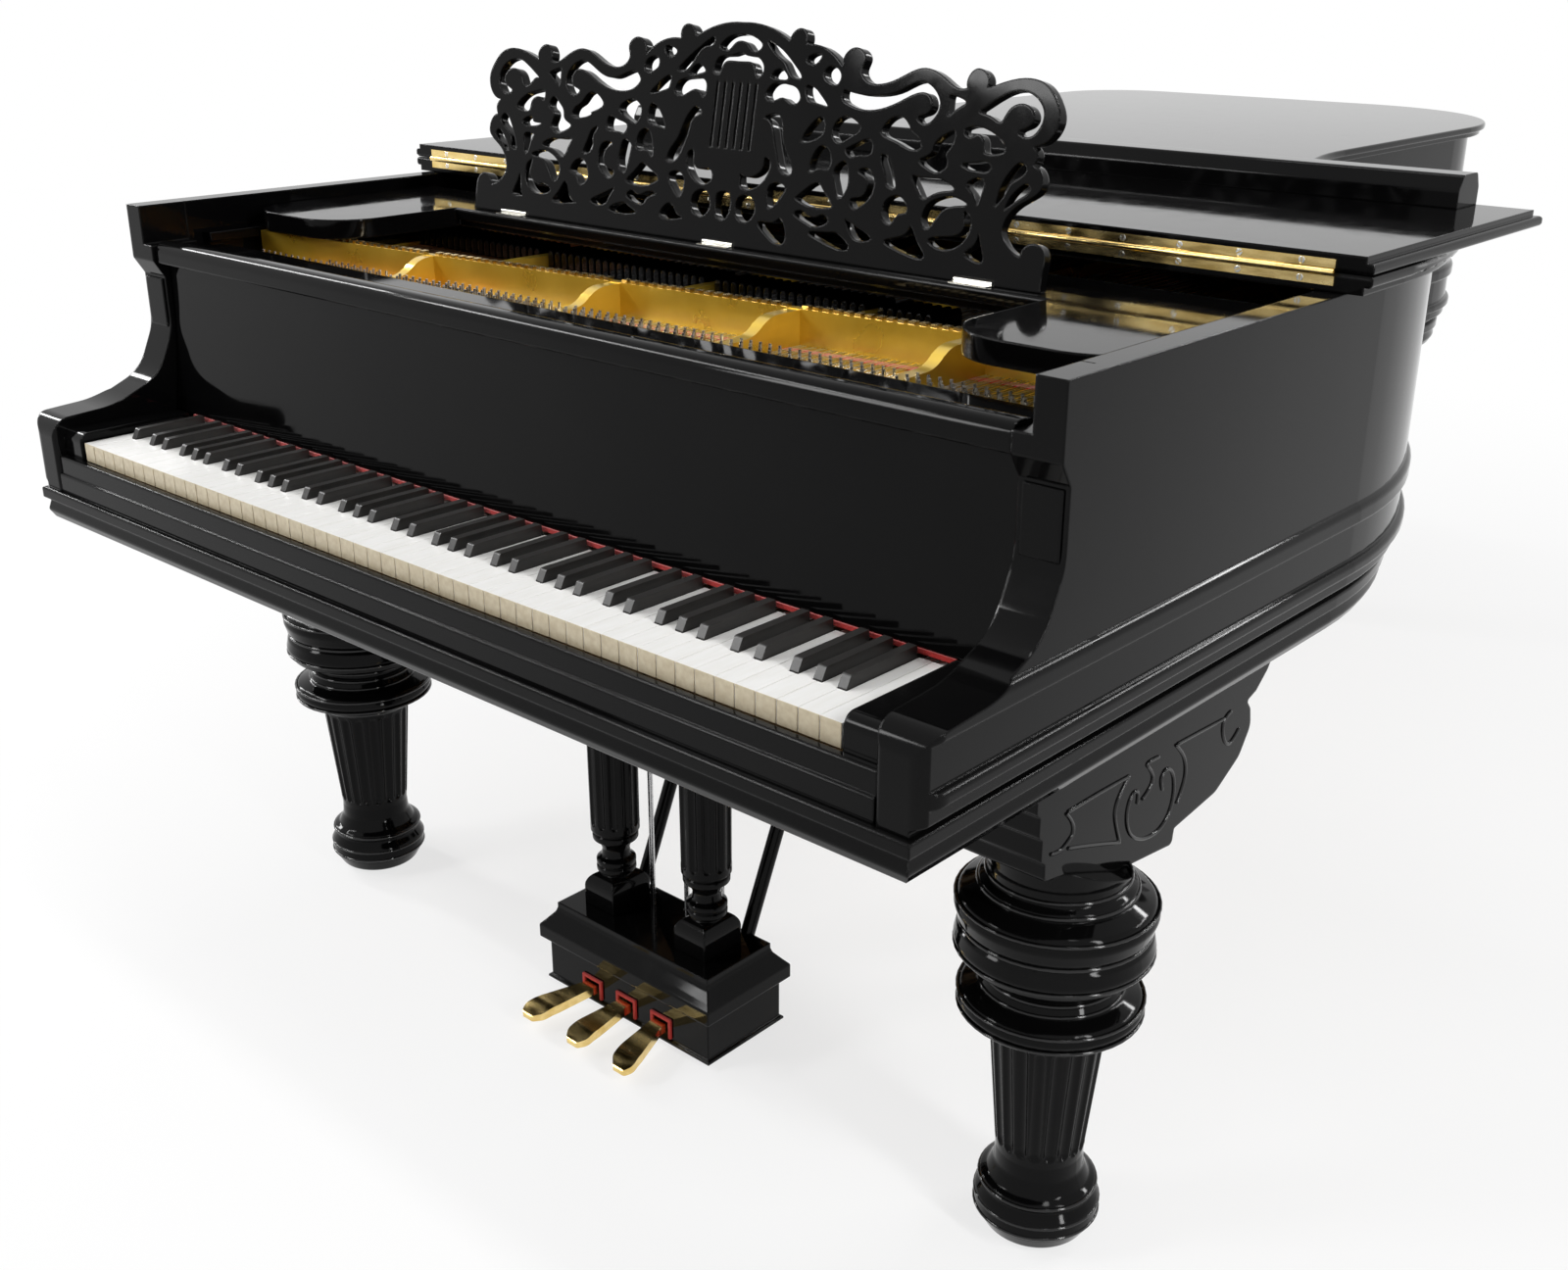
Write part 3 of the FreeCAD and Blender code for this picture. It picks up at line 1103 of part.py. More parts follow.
def smooth(points, closed):
    curve = Part.BSplineCurve()
    curve.interpolate(Points=[Vector(x, h, 0) for x, h in points], PeriodicFlag=closed)
    return curve.toShape()


def other_half(points):
    return [(-x, h) for x, h in reversed(points)]


crest = [smooth(points, False) for points in CREST]
crest.append(Part.makeLine(Vector(DESK_HALF, -6, 0), Vector(-DESK_HALF, -6, 0)))
crest += [smooth(other_half(points), False) for points in reversed(CREST)]
board_face = Part.Face(Part.Wire(crest))
holes = MIDDLE + PIERCED + [other_half(points) for points in PIERCED]
hole_faces = [Part.Face(Part.Wire(smooth(points, True))) for points in holes]
board_face = board_face.cut(Part.makeCompound(hole_faces)).Faces[0]
if board_face.normalAt(0, 0).z > 0:
    board_face.reverse()
desk = board_face.extrude(Vector(0, 0, -DESK_THICK))
for x in (-30, -18, -6, 6, 18, 30):
    desk = desk.cut(Part.makeBox(4, 72, 6, Vector(x - 2, 106, -3)))
desk.rotate(Vector(0, 0, 0), Vector(1, 0, 0), 90 - DESK_LEAN)
desk.translate(Vector(0, DESK_AXIS_Y, DESK_AXIS_Z))
desk = desk.cut(box(-HALF_WIDTH, HALF_WIDTH, 0, TAIL_Y, 0, SHELF_TOP + FIT))
hinge_parts = []
desk_hinge_x = DESK_HALF - DESK_HINGE_INSET
for x in (-desk_hinge_x, 0, desk_hinge_x):
    barrel = rod((x - 24, DESK_AXIS_Y, DESK_AXIS_Z), (x + 24, DESK_AXIS_Y, DESK_AXIS_Z), DESK_BARREL)
    leaf = box(x - 24, x + 24, LEDGE_FRONT + 5, DESK_AXIS_Y, SHELF_TOP, SHELF_TOP + 1)
    leaf = leaf.fuse(box(x - 24, x + 24, DESK_AXIS_Y - DESK_BARREL, DESK_AXIS_Y, SHELF_TOP, DESK_AXIS_Z))
    hinge_parts.append(fused([barrel, leaf]))
    room = rod((x - 25, DESK_AXIS_Y, DESK_AXIS_Z), (x + 25, DESK_AXIS_Y, DESK_AXIS_Z), DESK_BARREL + FIT)
    desk = desk.cut(room)
pieces["music_desk"] = desk
pieces["desk_hinges"] = Part.makeCompound(hinge_parts)

# Legs: turned foot, fluted shaft, three bulges; the top is fitted under the console or block above it.
leg_profile = [
    (0, 0),
    (38, 0, 3),
    (56, 9, 12),
    (67, 28, 10),
    (67, 46, 8),
    (59, 58, 4),
    (62, 61, 1),
    (62, 68, 2),
    (55, 72, 3),
    (48, 86, 10),
    (SHAFT_LOW_R, SHAFT_LOW),
    (SHAFT_HIGH_R, SHAFT_HIGH),
]
for radius, rise, corner in (
    (66, 3, 2),
    (66, 8, 1),
    (78, 11, 4),
    (93, 19, 6),
    (97, 30, 5),
    (93, 41, 5),
    (76, 48, 5),
    (70, 60, 8),
    (73, 74, 6),
    (96, 83, 6),
    (103, 99, 9),
    (100, 113, 4),
    (97, 117, 1),
    (97, 121, 1),
    (100, 125, 4),
    (104, 139, 8),
    (99, 153, 6),
    (80, 162, 2),
    (80, 169, 2),
    (72, 174, 3),
    (73, 188, 6),
):
    leg_profile.append((radius, SHAFT_HIGH + rise, corner))
leg_profile += [(84, LEG_TOP), (0, LEG_TOP)]


def groove(start, end, radius):
    """Round-ended cutter whose middle line runs from start to end."""
    foot = Vector(*start)
    along = Vector(*end) - foot
    length = along.Length
    slant = radius * cos(pi / 4)
    lower = Part.Arc(Vector(0, 0, -radius), Vector(slant, 0, -slant), Vector(radius, 0, 0))
    upper = Part.Arc(Vector(radius, 0, length), Vector(slant, 0, length + slant), Vector(0, 0, length + radius))
    side = Part.makeLine(Vector(radius, 0, 0), Vector(radius, 0, length))
    core = Part.makeLine(Vector(0, 0, length + radius), Vector(0, 0, -radius))
    half = Part.Face(Part.Wire([lower.toShape(), side, upper.toShape(), core]))
    cutter = half.revolve(Vector(0, 0, 0), Vector(0, 0, 1), 360)
    cutter.Placement = FreeCAD.Placement(foot, FreeCAD.Rotation(Vector(0, 0, 1), along))
    return cutter


def fluting(count, radius, low, high, low_r, high_r):
    """Grooves spaced evenly round a tapering shaft on the vertical axis."""
    grooves = []
    for number in range(count):
        angle = 2 * pi * (number + 0.5) / count
        start = (low_r * cos(angle), low_r * sin(angle), low)
        end = (high_r * cos(angle), high_r * sin(angle), high)
        grooves.append(groove(start, end, radius))
    return grooves


leg = turned(leg_profile, 0, 0)
leg = leg.cut(fluting(FLUTES, FLUTE_R, SHAFT_LOW + 16, SHAFT_HIGH - 10, SHAFT_LOW_R + 6.7, SHAFT_HIGH_R + 4.6))

# Consoles over the front legs: stepped front, scrolled underside, tapering towards the tail.
console_side = [
    (-133, 0),
    (-133, -18, 5),
    (-127, -23),
    (-127, -42, 5),
    (-121, -47),
    (-121, -68, 5),
    (-115, -73),
    (-115, -94, 5),
    (-109, -99),
    (-109, -122, 5),
    (-102, -127),
    (-101, -146, 6),
    (-58, -154, 30),
    (34, -190, 60),
    (142, -204, 6),
    (144, -186, 3),
    (229, -176, 30),
    (276, -150, 25),
    (296, -120, 18),
    (291, -98, 8),
    (281, -86, 3),
    (300, -80, 6),
    (322, -62, 18),
    (345, -28, 25),
    (357, 0),
]
console_side = [(LEG_Y + p[0], LEG_TOP + CONSOLE_RISE + p[1]) + p[2:] for p in console_side]
console = prism_x(console_side, LEG_X - CONSOLE_HALF, LEG_X + CONSOLE_HALF)
console = console.common(box(LEG_X - CONSOLE_HALF, LEG_X + CONSOLE_HALF, 0, TAIL_Y, 0, BASE_BOTTOM))
front_leg = leg.copy()
front_leg.translate(Vector(LEG_X, LEG_Y, 0))
front_leg = front_leg.cut(prism_x(console_side, LEG_X - LEG_INSET, LEG_X + LEG_INSET))
front_leg = max(front_leg.Solids, key=lambda solid: solid.Volume)
pieces["right_console"] = console
pieces["left_console"] = mirrored(console)
pieces["right_leg"] = front_leg
pieces["left_leg"] = mirrored(front_leg)
tail_block = box(
    TAIL_LEG_X - TAIL_BLOCK_HALF, TAIL_LEG_X + TAIL_BLOCK_HALF,
    TAIL_LEG_Y - TAIL_BLOCK_HALF, TAIL_LEG_Y + TAIL_BLOCK_HALF,
    LEG_TOP - 22, BASE_TOP,
)
tail_leg = leg.copy()
tail_leg.translate(Vector(TAIL_LEG_X, TAIL_LEG_Y, 0))
pieces["tail_leg_block"] = tail_block
tail_leg = tail_leg.cut(tail_block)
pieces["tail_leg"] = max(tail_leg.Solids, key=lambda solid: solid.Volume)

# Pedal box with a projecting ledge, a stepped top, slots for the pedals and the axle inside.
box_steps = [
    (4, BOX_BOTTOM),
    (4, BOX_BOTTOM + 3, 2),
    (0, BOX_BOTTOM + 5, 2),
    (0, BOX_TOP - 56),
    (BOX_LEDGE - 6, BOX_TOP - 54),
    (BOX_LEDGE, BOX_TOP - 51, 3),
    (BOX_LEDGE, BOX_TOP - 32, 5),
    (3, BOX_TOP - 24),
    (-6, BOX_TOP - 13, 8),
    (-8, BOX_TOP - 7),
    (-8, BOX_TOP),
]
along = [(BOX_FRONT - p[0], p[1]) + p[2:] for p in box_steps]
along += [(2 * LYRE_Y - p[0], p[1]) + p[2:] for p in reversed(along)]
across = [(BOX_HALF + p[0], p[1]) + p[2:] for p in box_steps]
across += [(-p[0], p[1]) + p[2:] for p in reversed(across)]
outer = prism_x(along, -BOX_HALF - BOX_LEDGE, BOX_HALF + BOX_LEDGE)
outer = outer.common(prism_y(across, BOX_FRONT - BOX_LEDGE, BOX_BACK + BOX_LEDGE))
hollow_top = BOX_TOP - 62
hollow = box(-BOX_HALF + 14, BOX_HALF - 14, BOX_FRONT + 12, BOX_BACK - 6, BOX_BOTTOM - 1, hollow_top)
slot_low = PEDAL_AXIS_Z - PEDAL_HEIGHT / 2 - SLOT_ROOM
slot_high = PEDAL_AXIS_Z + PEDAL_HEIGHT / 2 + SLOT_GAP
slot_half = PEDAL_WIDTH / 2 + SLOT_GAP
openings = [hollow]
collars = []
for x in (-PEDAL_X, 0, PEDAL_X):
    slot = box(x - slot_half, x + slot_half, BOX_FRONT - 2 * COLLAR, BOX_FRONT + 14, slot_low, slot_high)
    openings.append(slot)
    openings.append(rod((x, ROD_Y, hollow_top - 8), (x, ROD_Y, BOX_TOP + 1), ROD_R + ROD_GAP))
    collar = box(
        x - slot_half - COLLAR_EDGE, x + slot_half + COLLAR_EDGE,
        BOX_FRONT - COLLAR, BOX_FRONT,
        slot_low, slot_high + COLLAR_EDGE,
    )
    collars.append(collar.cut(slot))
axle = rod(
    (-BOX_HALF + 10, PEDAL_AXIS_Y, PEDAL_AXIS_Z),
    (BOX_HALF - 10, PEDAL_AXIS_Y, PEDAL_AXIS_Z),
    PEDAL_PIN,
)
pedal_box = fused([outer.cut(Part.makeCompound(openings)), axle])
pieces["pedal_box"] = pedal_box
pieces["pedal_felts"] = Part.makeCompound(collars)

# Lyre columns: a square die with arched tops, a ringed neck, a fluted shaft up to the keybed.
die_top = BOX_TOP + DIE_HEIGHT


def arched(half):
    return [(-half, BOX_TOP), (half, BOX_TOP), (half, die_top, 22), (-half, die_top, 22)]


die = prism_x(arched(DIE_HALF_DEPTH), -DIE_HALF, DIE_HALF)
die = die.common(prism_y(arched(DIE_HALF), -DIE_HALF_DEPTH, DIE_HALF_DEPTH))
column_profile = [
    (0, die_top - 4),
    (18, die_top - 4),
    (26, die_top + 3, 3),
    (26, die_top + 9, 2),
    (23, die_top + 11, 1),
    (26, die_top + 13, 2),
    (26, die_top + 19, 3),
    (19, die_top + 24, 3),
    (18, die_top + 34, 6),
    (22, die_top + 44, 5),
    (30, die_top + 49, 3),
    (30, die_top + 56, 2),
    (27, die_top + 59),
    (COLUMN_LOW_R, die_top + 62),
    (COLUMN_R, BASE_BOTTOM - 30),
    (COLUMN_R + 6, BASE_BOTTOM - 24, 2),
    (COLUMN_R + 6, BASE_BOTTOM),
    (0, BASE_BOTTOM),
]
column = turned(column_profile, 0, 0)
column_low = die_top + 76
column_high = BASE_BOTTOM - 42
column_flutes = fluting(COLUMN_FLUTES, COLUMN_FLUTE_R, column_low, column_high, COLUMN_LOW_R + 3, COLUMN_R + 3)
column = column.cut(column_flutes)
post = fused([die, column])
post.translate(Vector(COLUMN_X, LYRE_Y, 0))
pieces["lyre_posts"] = Part.makeCompound([post, mirrored(post)])

# Braces from the back of the pedal box up to the beam behind the keybed, with a double ring half way.
brace_start = Vector(BRACE_X, BOX_BACK - 20, BOX_TOP - 34)
brace_end = Vector(BRACE_X, BRACE_TOP_Y, BASE_BOTTOM)
run = brace_end - brace_start
run.normalize()
beyond = brace_end + run * 20
brace_parts = [rod(tuple(brace_start), tuple(beyond), BRACE_R)]
for share in (0.56, 0.6):
    ring_at = brace_start + (brace_end - brace_start) * share
    brace_parts.append(rod(tuple(ring_at - run * 6), tuple(ring_at + run * 6), BRACE_R + 5))
brace = fused(brace_parts)
solid_box = box(-BOX_HALF - BOX_LEDGE, BOX_HALF + BOX_LEDGE, BOX_FRONT, BOX_BACK - 8, BOX_BOTTOM, BOX_TOP)
brace = brace.cut(outer).cut(solid_box)
brace = brace.cut(box(-HALF_WIDTH, HALF_WIDTH, 0, TAIL_Y, BASE_BOTTOM, RIM_TOP))
brace = max(brace.Solids, key=lambda solid: solid.Volume)
pieces["lyre_braces"] = Part.makeCompound([brace, mirrored(brace)])

# Pedals on the axle, the outer two splayed a little, and the rods standing on their back ends.
pedal_low = PEDAL_AXIS_Z - PEDAL_HEIGHT / 2
pedal_high = PEDAL_AXIS_Z + PEDAL_HEIGHT / 2
pedal_side = [
    (PEDAL_BACK_Y, pedal_low, 2),
    (BOX_FRONT - 12, pedal_low),
    (PEDAL_TOE_Y + 24, pedal_low - 3, 40),
    (PEDAL_TOE_Y, pedal_low - 7, 3),
    (PEDAL_TOE_Y, pedal_low + 1, 5),
    (PEDAL_TOE_Y + 24, pedal_high - 3, 40),
    (BOX_FRONT - 12, pedal_high),
    (PEDAL_BACK_Y, pedal_high),
]
half = PEDAL_WIDTH / 2
for name, x in (("left", -PEDAL_X), ("middle", 0), ("right", PEDAL_X)):
    lean = tan(radians(PEDAL_SPLAY)) * x / PEDAL_X
    outline_points = [
        (-half, PEDAL_BACK_Y, 2),
        (-half, BOX_FRONT - 10, 20),
        (-half - 7, PEDAL_TOE_Y + 34, 30),
        (-half - 8, PEDAL_TOE_Y + 12, 14),
        (-half + 2, PEDAL_TOE_Y, 10),
        (half - 2, PEDAL_TOE_Y, 10),
        (half + 8, PEDAL_TOE_Y + 12, 14),
        (half + 7, PEDAL_TOE_Y + 34, 30),
        (half, BOX_FRONT - 10, 20),
        (half, PEDAL_BACK_Y, 2),
    ]
    plan = [(x + p[0] + lean * max(0, BOX_FRONT - 10 - p[1]), p[1]) + p[2:] for p in outline_points]
    pedal = prism_z(plan, BOX_BOTTOM, BOX_TOP).common(prism_x(pedal_side, x - 60, x + 60))
    eye = rod((x - 40, PEDAL_AXIS_Y, PEDAL_AXIS_Z), (x + 40, PEDAL_AXIS_Y, PEDAL_AXIS_Z), PEDAL_PIN + 0.3)
    pieces[name + "_pedal"] = pedal.cut(eye)
    rod_top = BASE_BOTTOM + ROD_ENTRY
    pieces[name + "_rod"] = rod((x, ROD_Y, pedal_high + FIT), (x, ROD_Y, rod_top), ROD_R)

os.makedirs("parts", exist_ok=True)
for name, shape in pieces.items():
    shape.translate(Vector(0, -Y_CENTRE, 0))
    shape.exportStep("parts/" + name + ".step")
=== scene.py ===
import bpy
import bmesh
from math import atan2, cos, pi, sin
from mathutils import Matrix, Vector


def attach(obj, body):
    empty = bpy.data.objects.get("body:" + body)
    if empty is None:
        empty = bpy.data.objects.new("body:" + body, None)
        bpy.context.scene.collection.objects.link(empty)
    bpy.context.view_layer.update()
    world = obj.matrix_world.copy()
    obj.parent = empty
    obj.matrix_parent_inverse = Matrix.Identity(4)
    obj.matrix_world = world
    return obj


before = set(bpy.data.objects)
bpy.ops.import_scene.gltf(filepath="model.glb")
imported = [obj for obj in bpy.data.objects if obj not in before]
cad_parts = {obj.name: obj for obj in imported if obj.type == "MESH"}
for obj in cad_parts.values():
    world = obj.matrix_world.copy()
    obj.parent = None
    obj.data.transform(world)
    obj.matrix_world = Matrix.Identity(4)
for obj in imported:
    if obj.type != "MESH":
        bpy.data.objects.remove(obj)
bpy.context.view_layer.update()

bpy.ops.object.select_all(action="DESELECT")

# Camera: it stands at the treble end in front of the keys, a little above the lid,
# and looks down across the keyboard towards the bass end of the tail.
camera_place = (1.395258, -2.181681, 1.292969)
turn = 0.7304
tilt = 0.3818
roll = 0.0032
bpy.ops.object.camera_add(location=camera_place)
camera = bpy.context.object
camera.name = "camera"
ahead = Vector((-sin(turn) * cos(tilt), cos(turn) * cos(tilt), -sin(tilt)))
rightward = ahead.cross(Vector((0, 0, 1))).normalized()
upward = rightward.cross(ahead)
frame_right = rightward * cos(roll) + upward * sin(roll)
frame_up = upward * cos(roll) - rightward * sin(roll)
aim = Matrix((frame_right, frame_up, -ahead)).transposed().to_4x4()
camera.matrix_world = Matrix.Translation(camera_place) @ aim
camera.data.sensor_fit = "HORIZONTAL"
camera.data.sensor_width = 36
camera.data.lens = 39.204
camera.data.clip_end = 200
bpy.context.scene.camera = camera
bpy.context.scene.view_settings.view_transform = "Standard"


# Studio floor: a wide disc of pale, dull paint that carries the shadow of the instrument
# and turns into the white surround a few steps away from it.
def new_finish(name):
    """Material with its nodes, links and shader, and the place of each point on the piece."""
    made = bpy.data.materials.new(name)
    made.use_nodes = True
    nodes = made.node_tree.nodes
    where = nodes.new("ShaderNodeTexCoord").outputs["Object"]
    return made, nodes, made.node_tree.links, nodes["Principled BSDF"], where


def seen_rays(nodes, links):
    """1 for rays that show a surface as it is: from the camera, mirrored or through glass."""
    paths = nodes.new("ShaderNodeLightPath")
    mirrored = nodes.new("ShaderNodeMath")
    mirrored.operation = "MAXIMUM"
    links.new(paths.outputs["Is Camera Ray"], mirrored.inputs[0])
    links.new(paths.outputs["Is Glossy Ray"], mirrored.inputs[1])
    seen = nodes.new("ShaderNodeMath")
    seen.operation = "MAXIMUM"
    links.new(mirrored.outputs[0], seen.inputs[0])
    links.new(paths.outputs["Is Transmission Ray"], seen.inputs[1])
    return seen.outputs[0]


floor_radius = 14
floor_drop = 0.0005
bpy.ops.mesh.primitive_circle_add(
    vertices=96, radius=floor_radius, fill_type="NGON", location=(0, 0, -floor_drop)
)
floor = bpy.context.object
floor.name = "floor"
bpy.ops.object.transform_apply(location=True, rotation=True, scale=True)
floor_paint, nodes, links, paint, where = new_finish("floor_paint")
paint.inputs["Base Color"].default_value = (0.9, 0.9, 0.9, 1)
paint.inputs["Roughness"].default_value = 0.8
paint.inputs["Specular IOR Level"].default_value = 0.1
glow = nodes.new("ShaderNodeEmission")
glow.inputs["Color"].default_value = (1, 1, 1, 1)
glow.inputs["Strength"].default_value = 1.0
reach = nodes.new("ShaderNodeVectorMath")
reach.operation = "LENGTH"
links.new(where, reach.inputs[0])
fade = nodes.new("ShaderNodeMapRange")
fade.interpolation_type = "SMOOTHSTEP"
fade.inputs["From Min"].default_value = 0.6
fade.inputs["From Max"].default_value = 3.4
fade.inputs["To Min"].default_value = 0.72
links.new(reach.outputs["Value"], fade.inputs["Value"])
share = nodes.new("ShaderNodeMath")
share.operation = "MULTIPLY"
links.new(seen_rays(nodes, links), share.inputs[0])
links.new(fade.outputs["Result"], share.inputs[1])
blend = nodes.new("ShaderNodeMixShader")
links.new(share.outputs[0], blend.inputs[0])
links.new(paint.outputs[0], blend.inputs[1])
links.new(glow.outputs[0], blend.inputs[2])
links.new(blend.outputs[0], nodes["Material Output"].inputs["Surface"])
floor.data.materials.append(floor_paint)

# Surround: white where it is seen or mirrored in the lacquer and the brass,
# and only a weak, even light on everything else.
world = bpy.data.worlds.new("surround")
bpy.context.scene.world = world
world.use_nodes = True
nodes = world.node_tree.nodes
links = world.node_tree.links
soft = nodes["Background"]
soft.inputs["Color"].default_value = (1, 1, 1, 1)
soft.inputs["Strength"].default_value = 0.12
white = nodes.new("ShaderNodeBackground")
white.inputs["Color"].default_value = (1, 1, 1, 1)
white.inputs["Strength"].default_value = 1.0
choice = nodes.new("ShaderNodeMixShader")
links.new(seen_rays(nodes, links), choice.inputs[0])
links.new(soft.outputs[0], choice.inputs[1])
links.new(white.outputs[0], choice.inputs[2])
links.new(choice.outputs[0], nodes["World Output"].inputs["Surface"])


# Lamps: a long box overhead and a square one in front light the keys and the pedals;
# four narrow strips around the case draw thin lines on its mouldings and on the legs.
def lamp(name, place, target, width, height, power):
    """Flat rectangular lamp at a place, turned towards a target."""
    bpy.ops.object.light_add(type="AREA", location=place)
    made = bpy.context.object
    made.name = name
    made.data.shape = "RECTANGLE"
    made.data.size = width
    made.data.size_y = height
    made.data.energy = power
    made.rotation_euler = (Vector(target) - Vector(place)).to_track_quat("-Z", "Y").to_euler()


lamp("top_lamp", (0.2, -1.0, 5.0), (0.2, -0.7, 0.8), 3.6, 0.4, 62)
lamp("front_strip", (-3.4, -3.2, 3.9), (-0.1, -1.0, 0.8), 2.8, 0.25, 85)
lamp("tail_strip", (2.2, 3.4, 3.6), (0.4, -0.3, 0.8), 2.8, 0.25, 90)
lamp("treble_strip", (4.0, -1.4, 2.2), (0.6, -0.8, 0.6), 0.4, 2.6, 105)
lamp("bass_strip", (-4.0, -1.2, 2.2), (-0.6, -0.8, 0.6), 0.3, 2.6, 75)
lamp("front_box", (-2.4, -4.4, 2.8), (0.2, -0.9, 0.4), 1.0, 1.0, 58)


# Case: bent maple rim, arms and mouldings, filled, stained black and polished to a high gloss;
# the polish has faint ripples, fine rubbing marks and a little haze, and the edges are eased by hand.
def speckle(nodes, links, where, scale, detail, stretch=None):
    """Noise over the piece, drawn out along an axis where a stretch is given."""
    if stretch:
        along = nodes.new("ShaderNodeMapping")
        along.inputs["Scale"].default_value = stretch
        links.new(where, along.inputs["Vector"])
        where = along.outputs["Vector"]
    noise = nodes.new("ShaderNodeTexNoise")
    noise.inputs["Scale"].default_value = scale
    noise.inputs["Detail"].default_value = detail
    links.new(where, noise.inputs["Vector"])
    return noise.outputs["Fac"]


def two_tone(nodes, links, driver, low, dark, high, light):
    """Colour from dark to light as the driver goes from low to high."""
    ramp = nodes.new("ShaderNodeValToRGB")
    ramp.color_ramp.elements[0].position = low
    ramp.color_ramp.elements[0].color = dark
    ramp.color_ramp.elements[1].position = high
    ramp.color_ramp.elements[1].color = light
    links.new(driver, ramp.inputs["Fac"])
    return ramp.outputs["Color"]


def spread(nodes, links, driver, low, high, least, most):
    """Number from least to most as the driver goes from low to high."""
    span = nodes.new("ShaderNodeMapRange")
    span.inputs["From Min"].default_value = low
    span.inputs["From Max"].default_value = high
    span.inputs["To Min"].default_value = least
    span.inputs["To Max"].default_value = most
    links.new(driver, span.inputs["Value"])
    return span.outputs["Result"]


def relief(nodes, links, driver, strength, depth, skin):
    """Fine relief of the given depth on a finish."""
    bump = nodes.new("ShaderNodeBump")
    bump.inputs["Strength"].default_value = strength
    bump.inputs["Distance"].default_value = depth
    links.new(driver, bump.inputs["Height"])
    links.new(bump.outputs["Normal"], skin.inputs["Normal"])
    return bump


def dress(finish, *names):
    """Gives the named solids their finish."""
    for name in names:
        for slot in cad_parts[name].material_slots:
            slot.material = finish


lacquer, nodes, links, skin, where = new_finish("black_lacquer")
skin.inputs["Specular IOR Level"].default_value = 0.1
haze = speckle(nodes, links, where, 5, 6)
stain = two_tone(nodes, links, haze, 0.3, (0.0015, 0.0015, 0.0017, 1), 0.75, (0.0035, 0.0034, 0.0034, 1))
links.new(stain, skin.inputs["Base Color"])
rubbed = speckle(nodes, links, where, 38, 8)
links.new(spread(nodes, links, rubbed, 0.3, 0.75, 0.035, 0.09), skin.inputs["Roughness"])
ripple = relief(nodes, links, haze, 0.03, 0.001, skin)
arris = nodes.new("ShaderNodeBevel")
arris.samples = 6
arris.inputs["Radius"].default_value = 0.003

# The joint between the rim and each arm is filled flush and polished over, so its edges aren't eased.
joint_y = -1.0270
joint_half = 0.006
case_side = 0.69
place = nodes.new("ShaderNodeSeparateXYZ")
links.new(where, place.inputs["Vector"])
near_joint = nodes.new("ShaderNodeMath")
near_joint.operation = "COMPARE"
near_joint.inputs[1].default_value = joint_y
near_joint.inputs[2].default_value = joint_half
links.new(place.outputs["Y"], near_joint.inputs[0])
outward = nodes.new("ShaderNodeMath")
outward.operation = "ABSOLUTE"
links.new(place.outputs["X"], outward.inputs[0])
on_side = nodes.new("ShaderNodeMath")
on_side.operation = "GREATER_THAN"
on_side.inputs[1].default_value = case_side
links.new(outward.outputs[0], on_side.inputs[0])
filled = nodes.new("ShaderNodeMath")
filled.operation = "MULTIPLY"
links.new(near_joint.outputs[0], filled.inputs[0])
links.new(on_side.outputs[0], filled.inputs[1])
plain = nodes.new("ShaderNodeNewGeometry")
eased = nodes.new("ShaderNodeMix")
eased.data_type = "VECTOR"
links.new(filled.outputs[0], eased.inputs["Factor"])
links.new(arris.outputs["Normal"], eased.inputs["A"])
links.new(plain.outputs["Normal"], eased.inputs["B"])
links.new(eased.outputs["Result"], ripple.inputs["Normal"])
dress(lacquer, "outer_rim", "left_arm", "right_arm", "base_moulding")
dress(lacquer, "keybed", "key_slip", "key_blocks", "front_board")

# Panels on the arms: thin raised fields of hardwood glued to the upright faces beside the
# fallboard, their edges eased all round and lacquered over with the arms.
panel_inner = 0.662
panel_outer = 0.7015
panel_bottom = 0.838
panel_top = 0.9
panel_front = -1.0795
panel_back = -1.0768
panel_easing = 0.0013
panel_middle = (panel_inner + panel_outer) / 2
for side, way in (("right", 1), ("left", -1)):
    bpy.ops.mesh.primitive_cube_add(size=1, location=(
        way * panel_middle, (panel_back + panel_front) / 2, (panel_bottom + panel_top) / 2
    ))
    field = bpy.context.object
    field.name = side + "_arm_panel"
    field.scale = (panel_outer - panel_inner, panel_back - panel_front, panel_top - panel_bottom)
    bpy.ops.object.transform_apply(location=True, rotation=True, scale=True)
    bpy.ops.object.mode_set(mode="EDIT")
    bpy.ops.mesh.select_all(action="SELECT")
    bpy.ops.mesh.bevel(offset=panel_easing, segments=3)
    bpy.ops.object.mode_set(mode="OBJECT")
    field.data.materials.append(lacquer)
    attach(field, "case")

# Inner case and action: bracing beams, soundboard, pin block, key frame and hammers of spruce and
# maple, planed and thinly varnished; the grain runs along the case and shows narrow rings.
bare_wood, nodes, links, skin, where = new_finish("varnished_spruce")
skin.inputs["Roughness"].default_value = 0.5
rings = speckle(nodes, links, where, 110, 5, (1, 0.06, 1))
grain = two_tone(nodes, links, rings, 0.35, (0.38, 0.22, 0.095, 1), 0.7, (0.62, 0.42, 0.21, 1))
links.new(grain, skin.inputs["Base Color"])
relief(nodes, links, rings, 0.15, 0.0006, skin)
dress(bare_wood, "inner_frame", "soundboard", "pin_block", "key_frame")
dress(bare_wood, "hammers_naturals_b", "hammers_naturals_ceg", "hammers_naturals_dfa")
dress(bare_wood, "hammers_sharps_cfa", "hammers_sharps_dg")

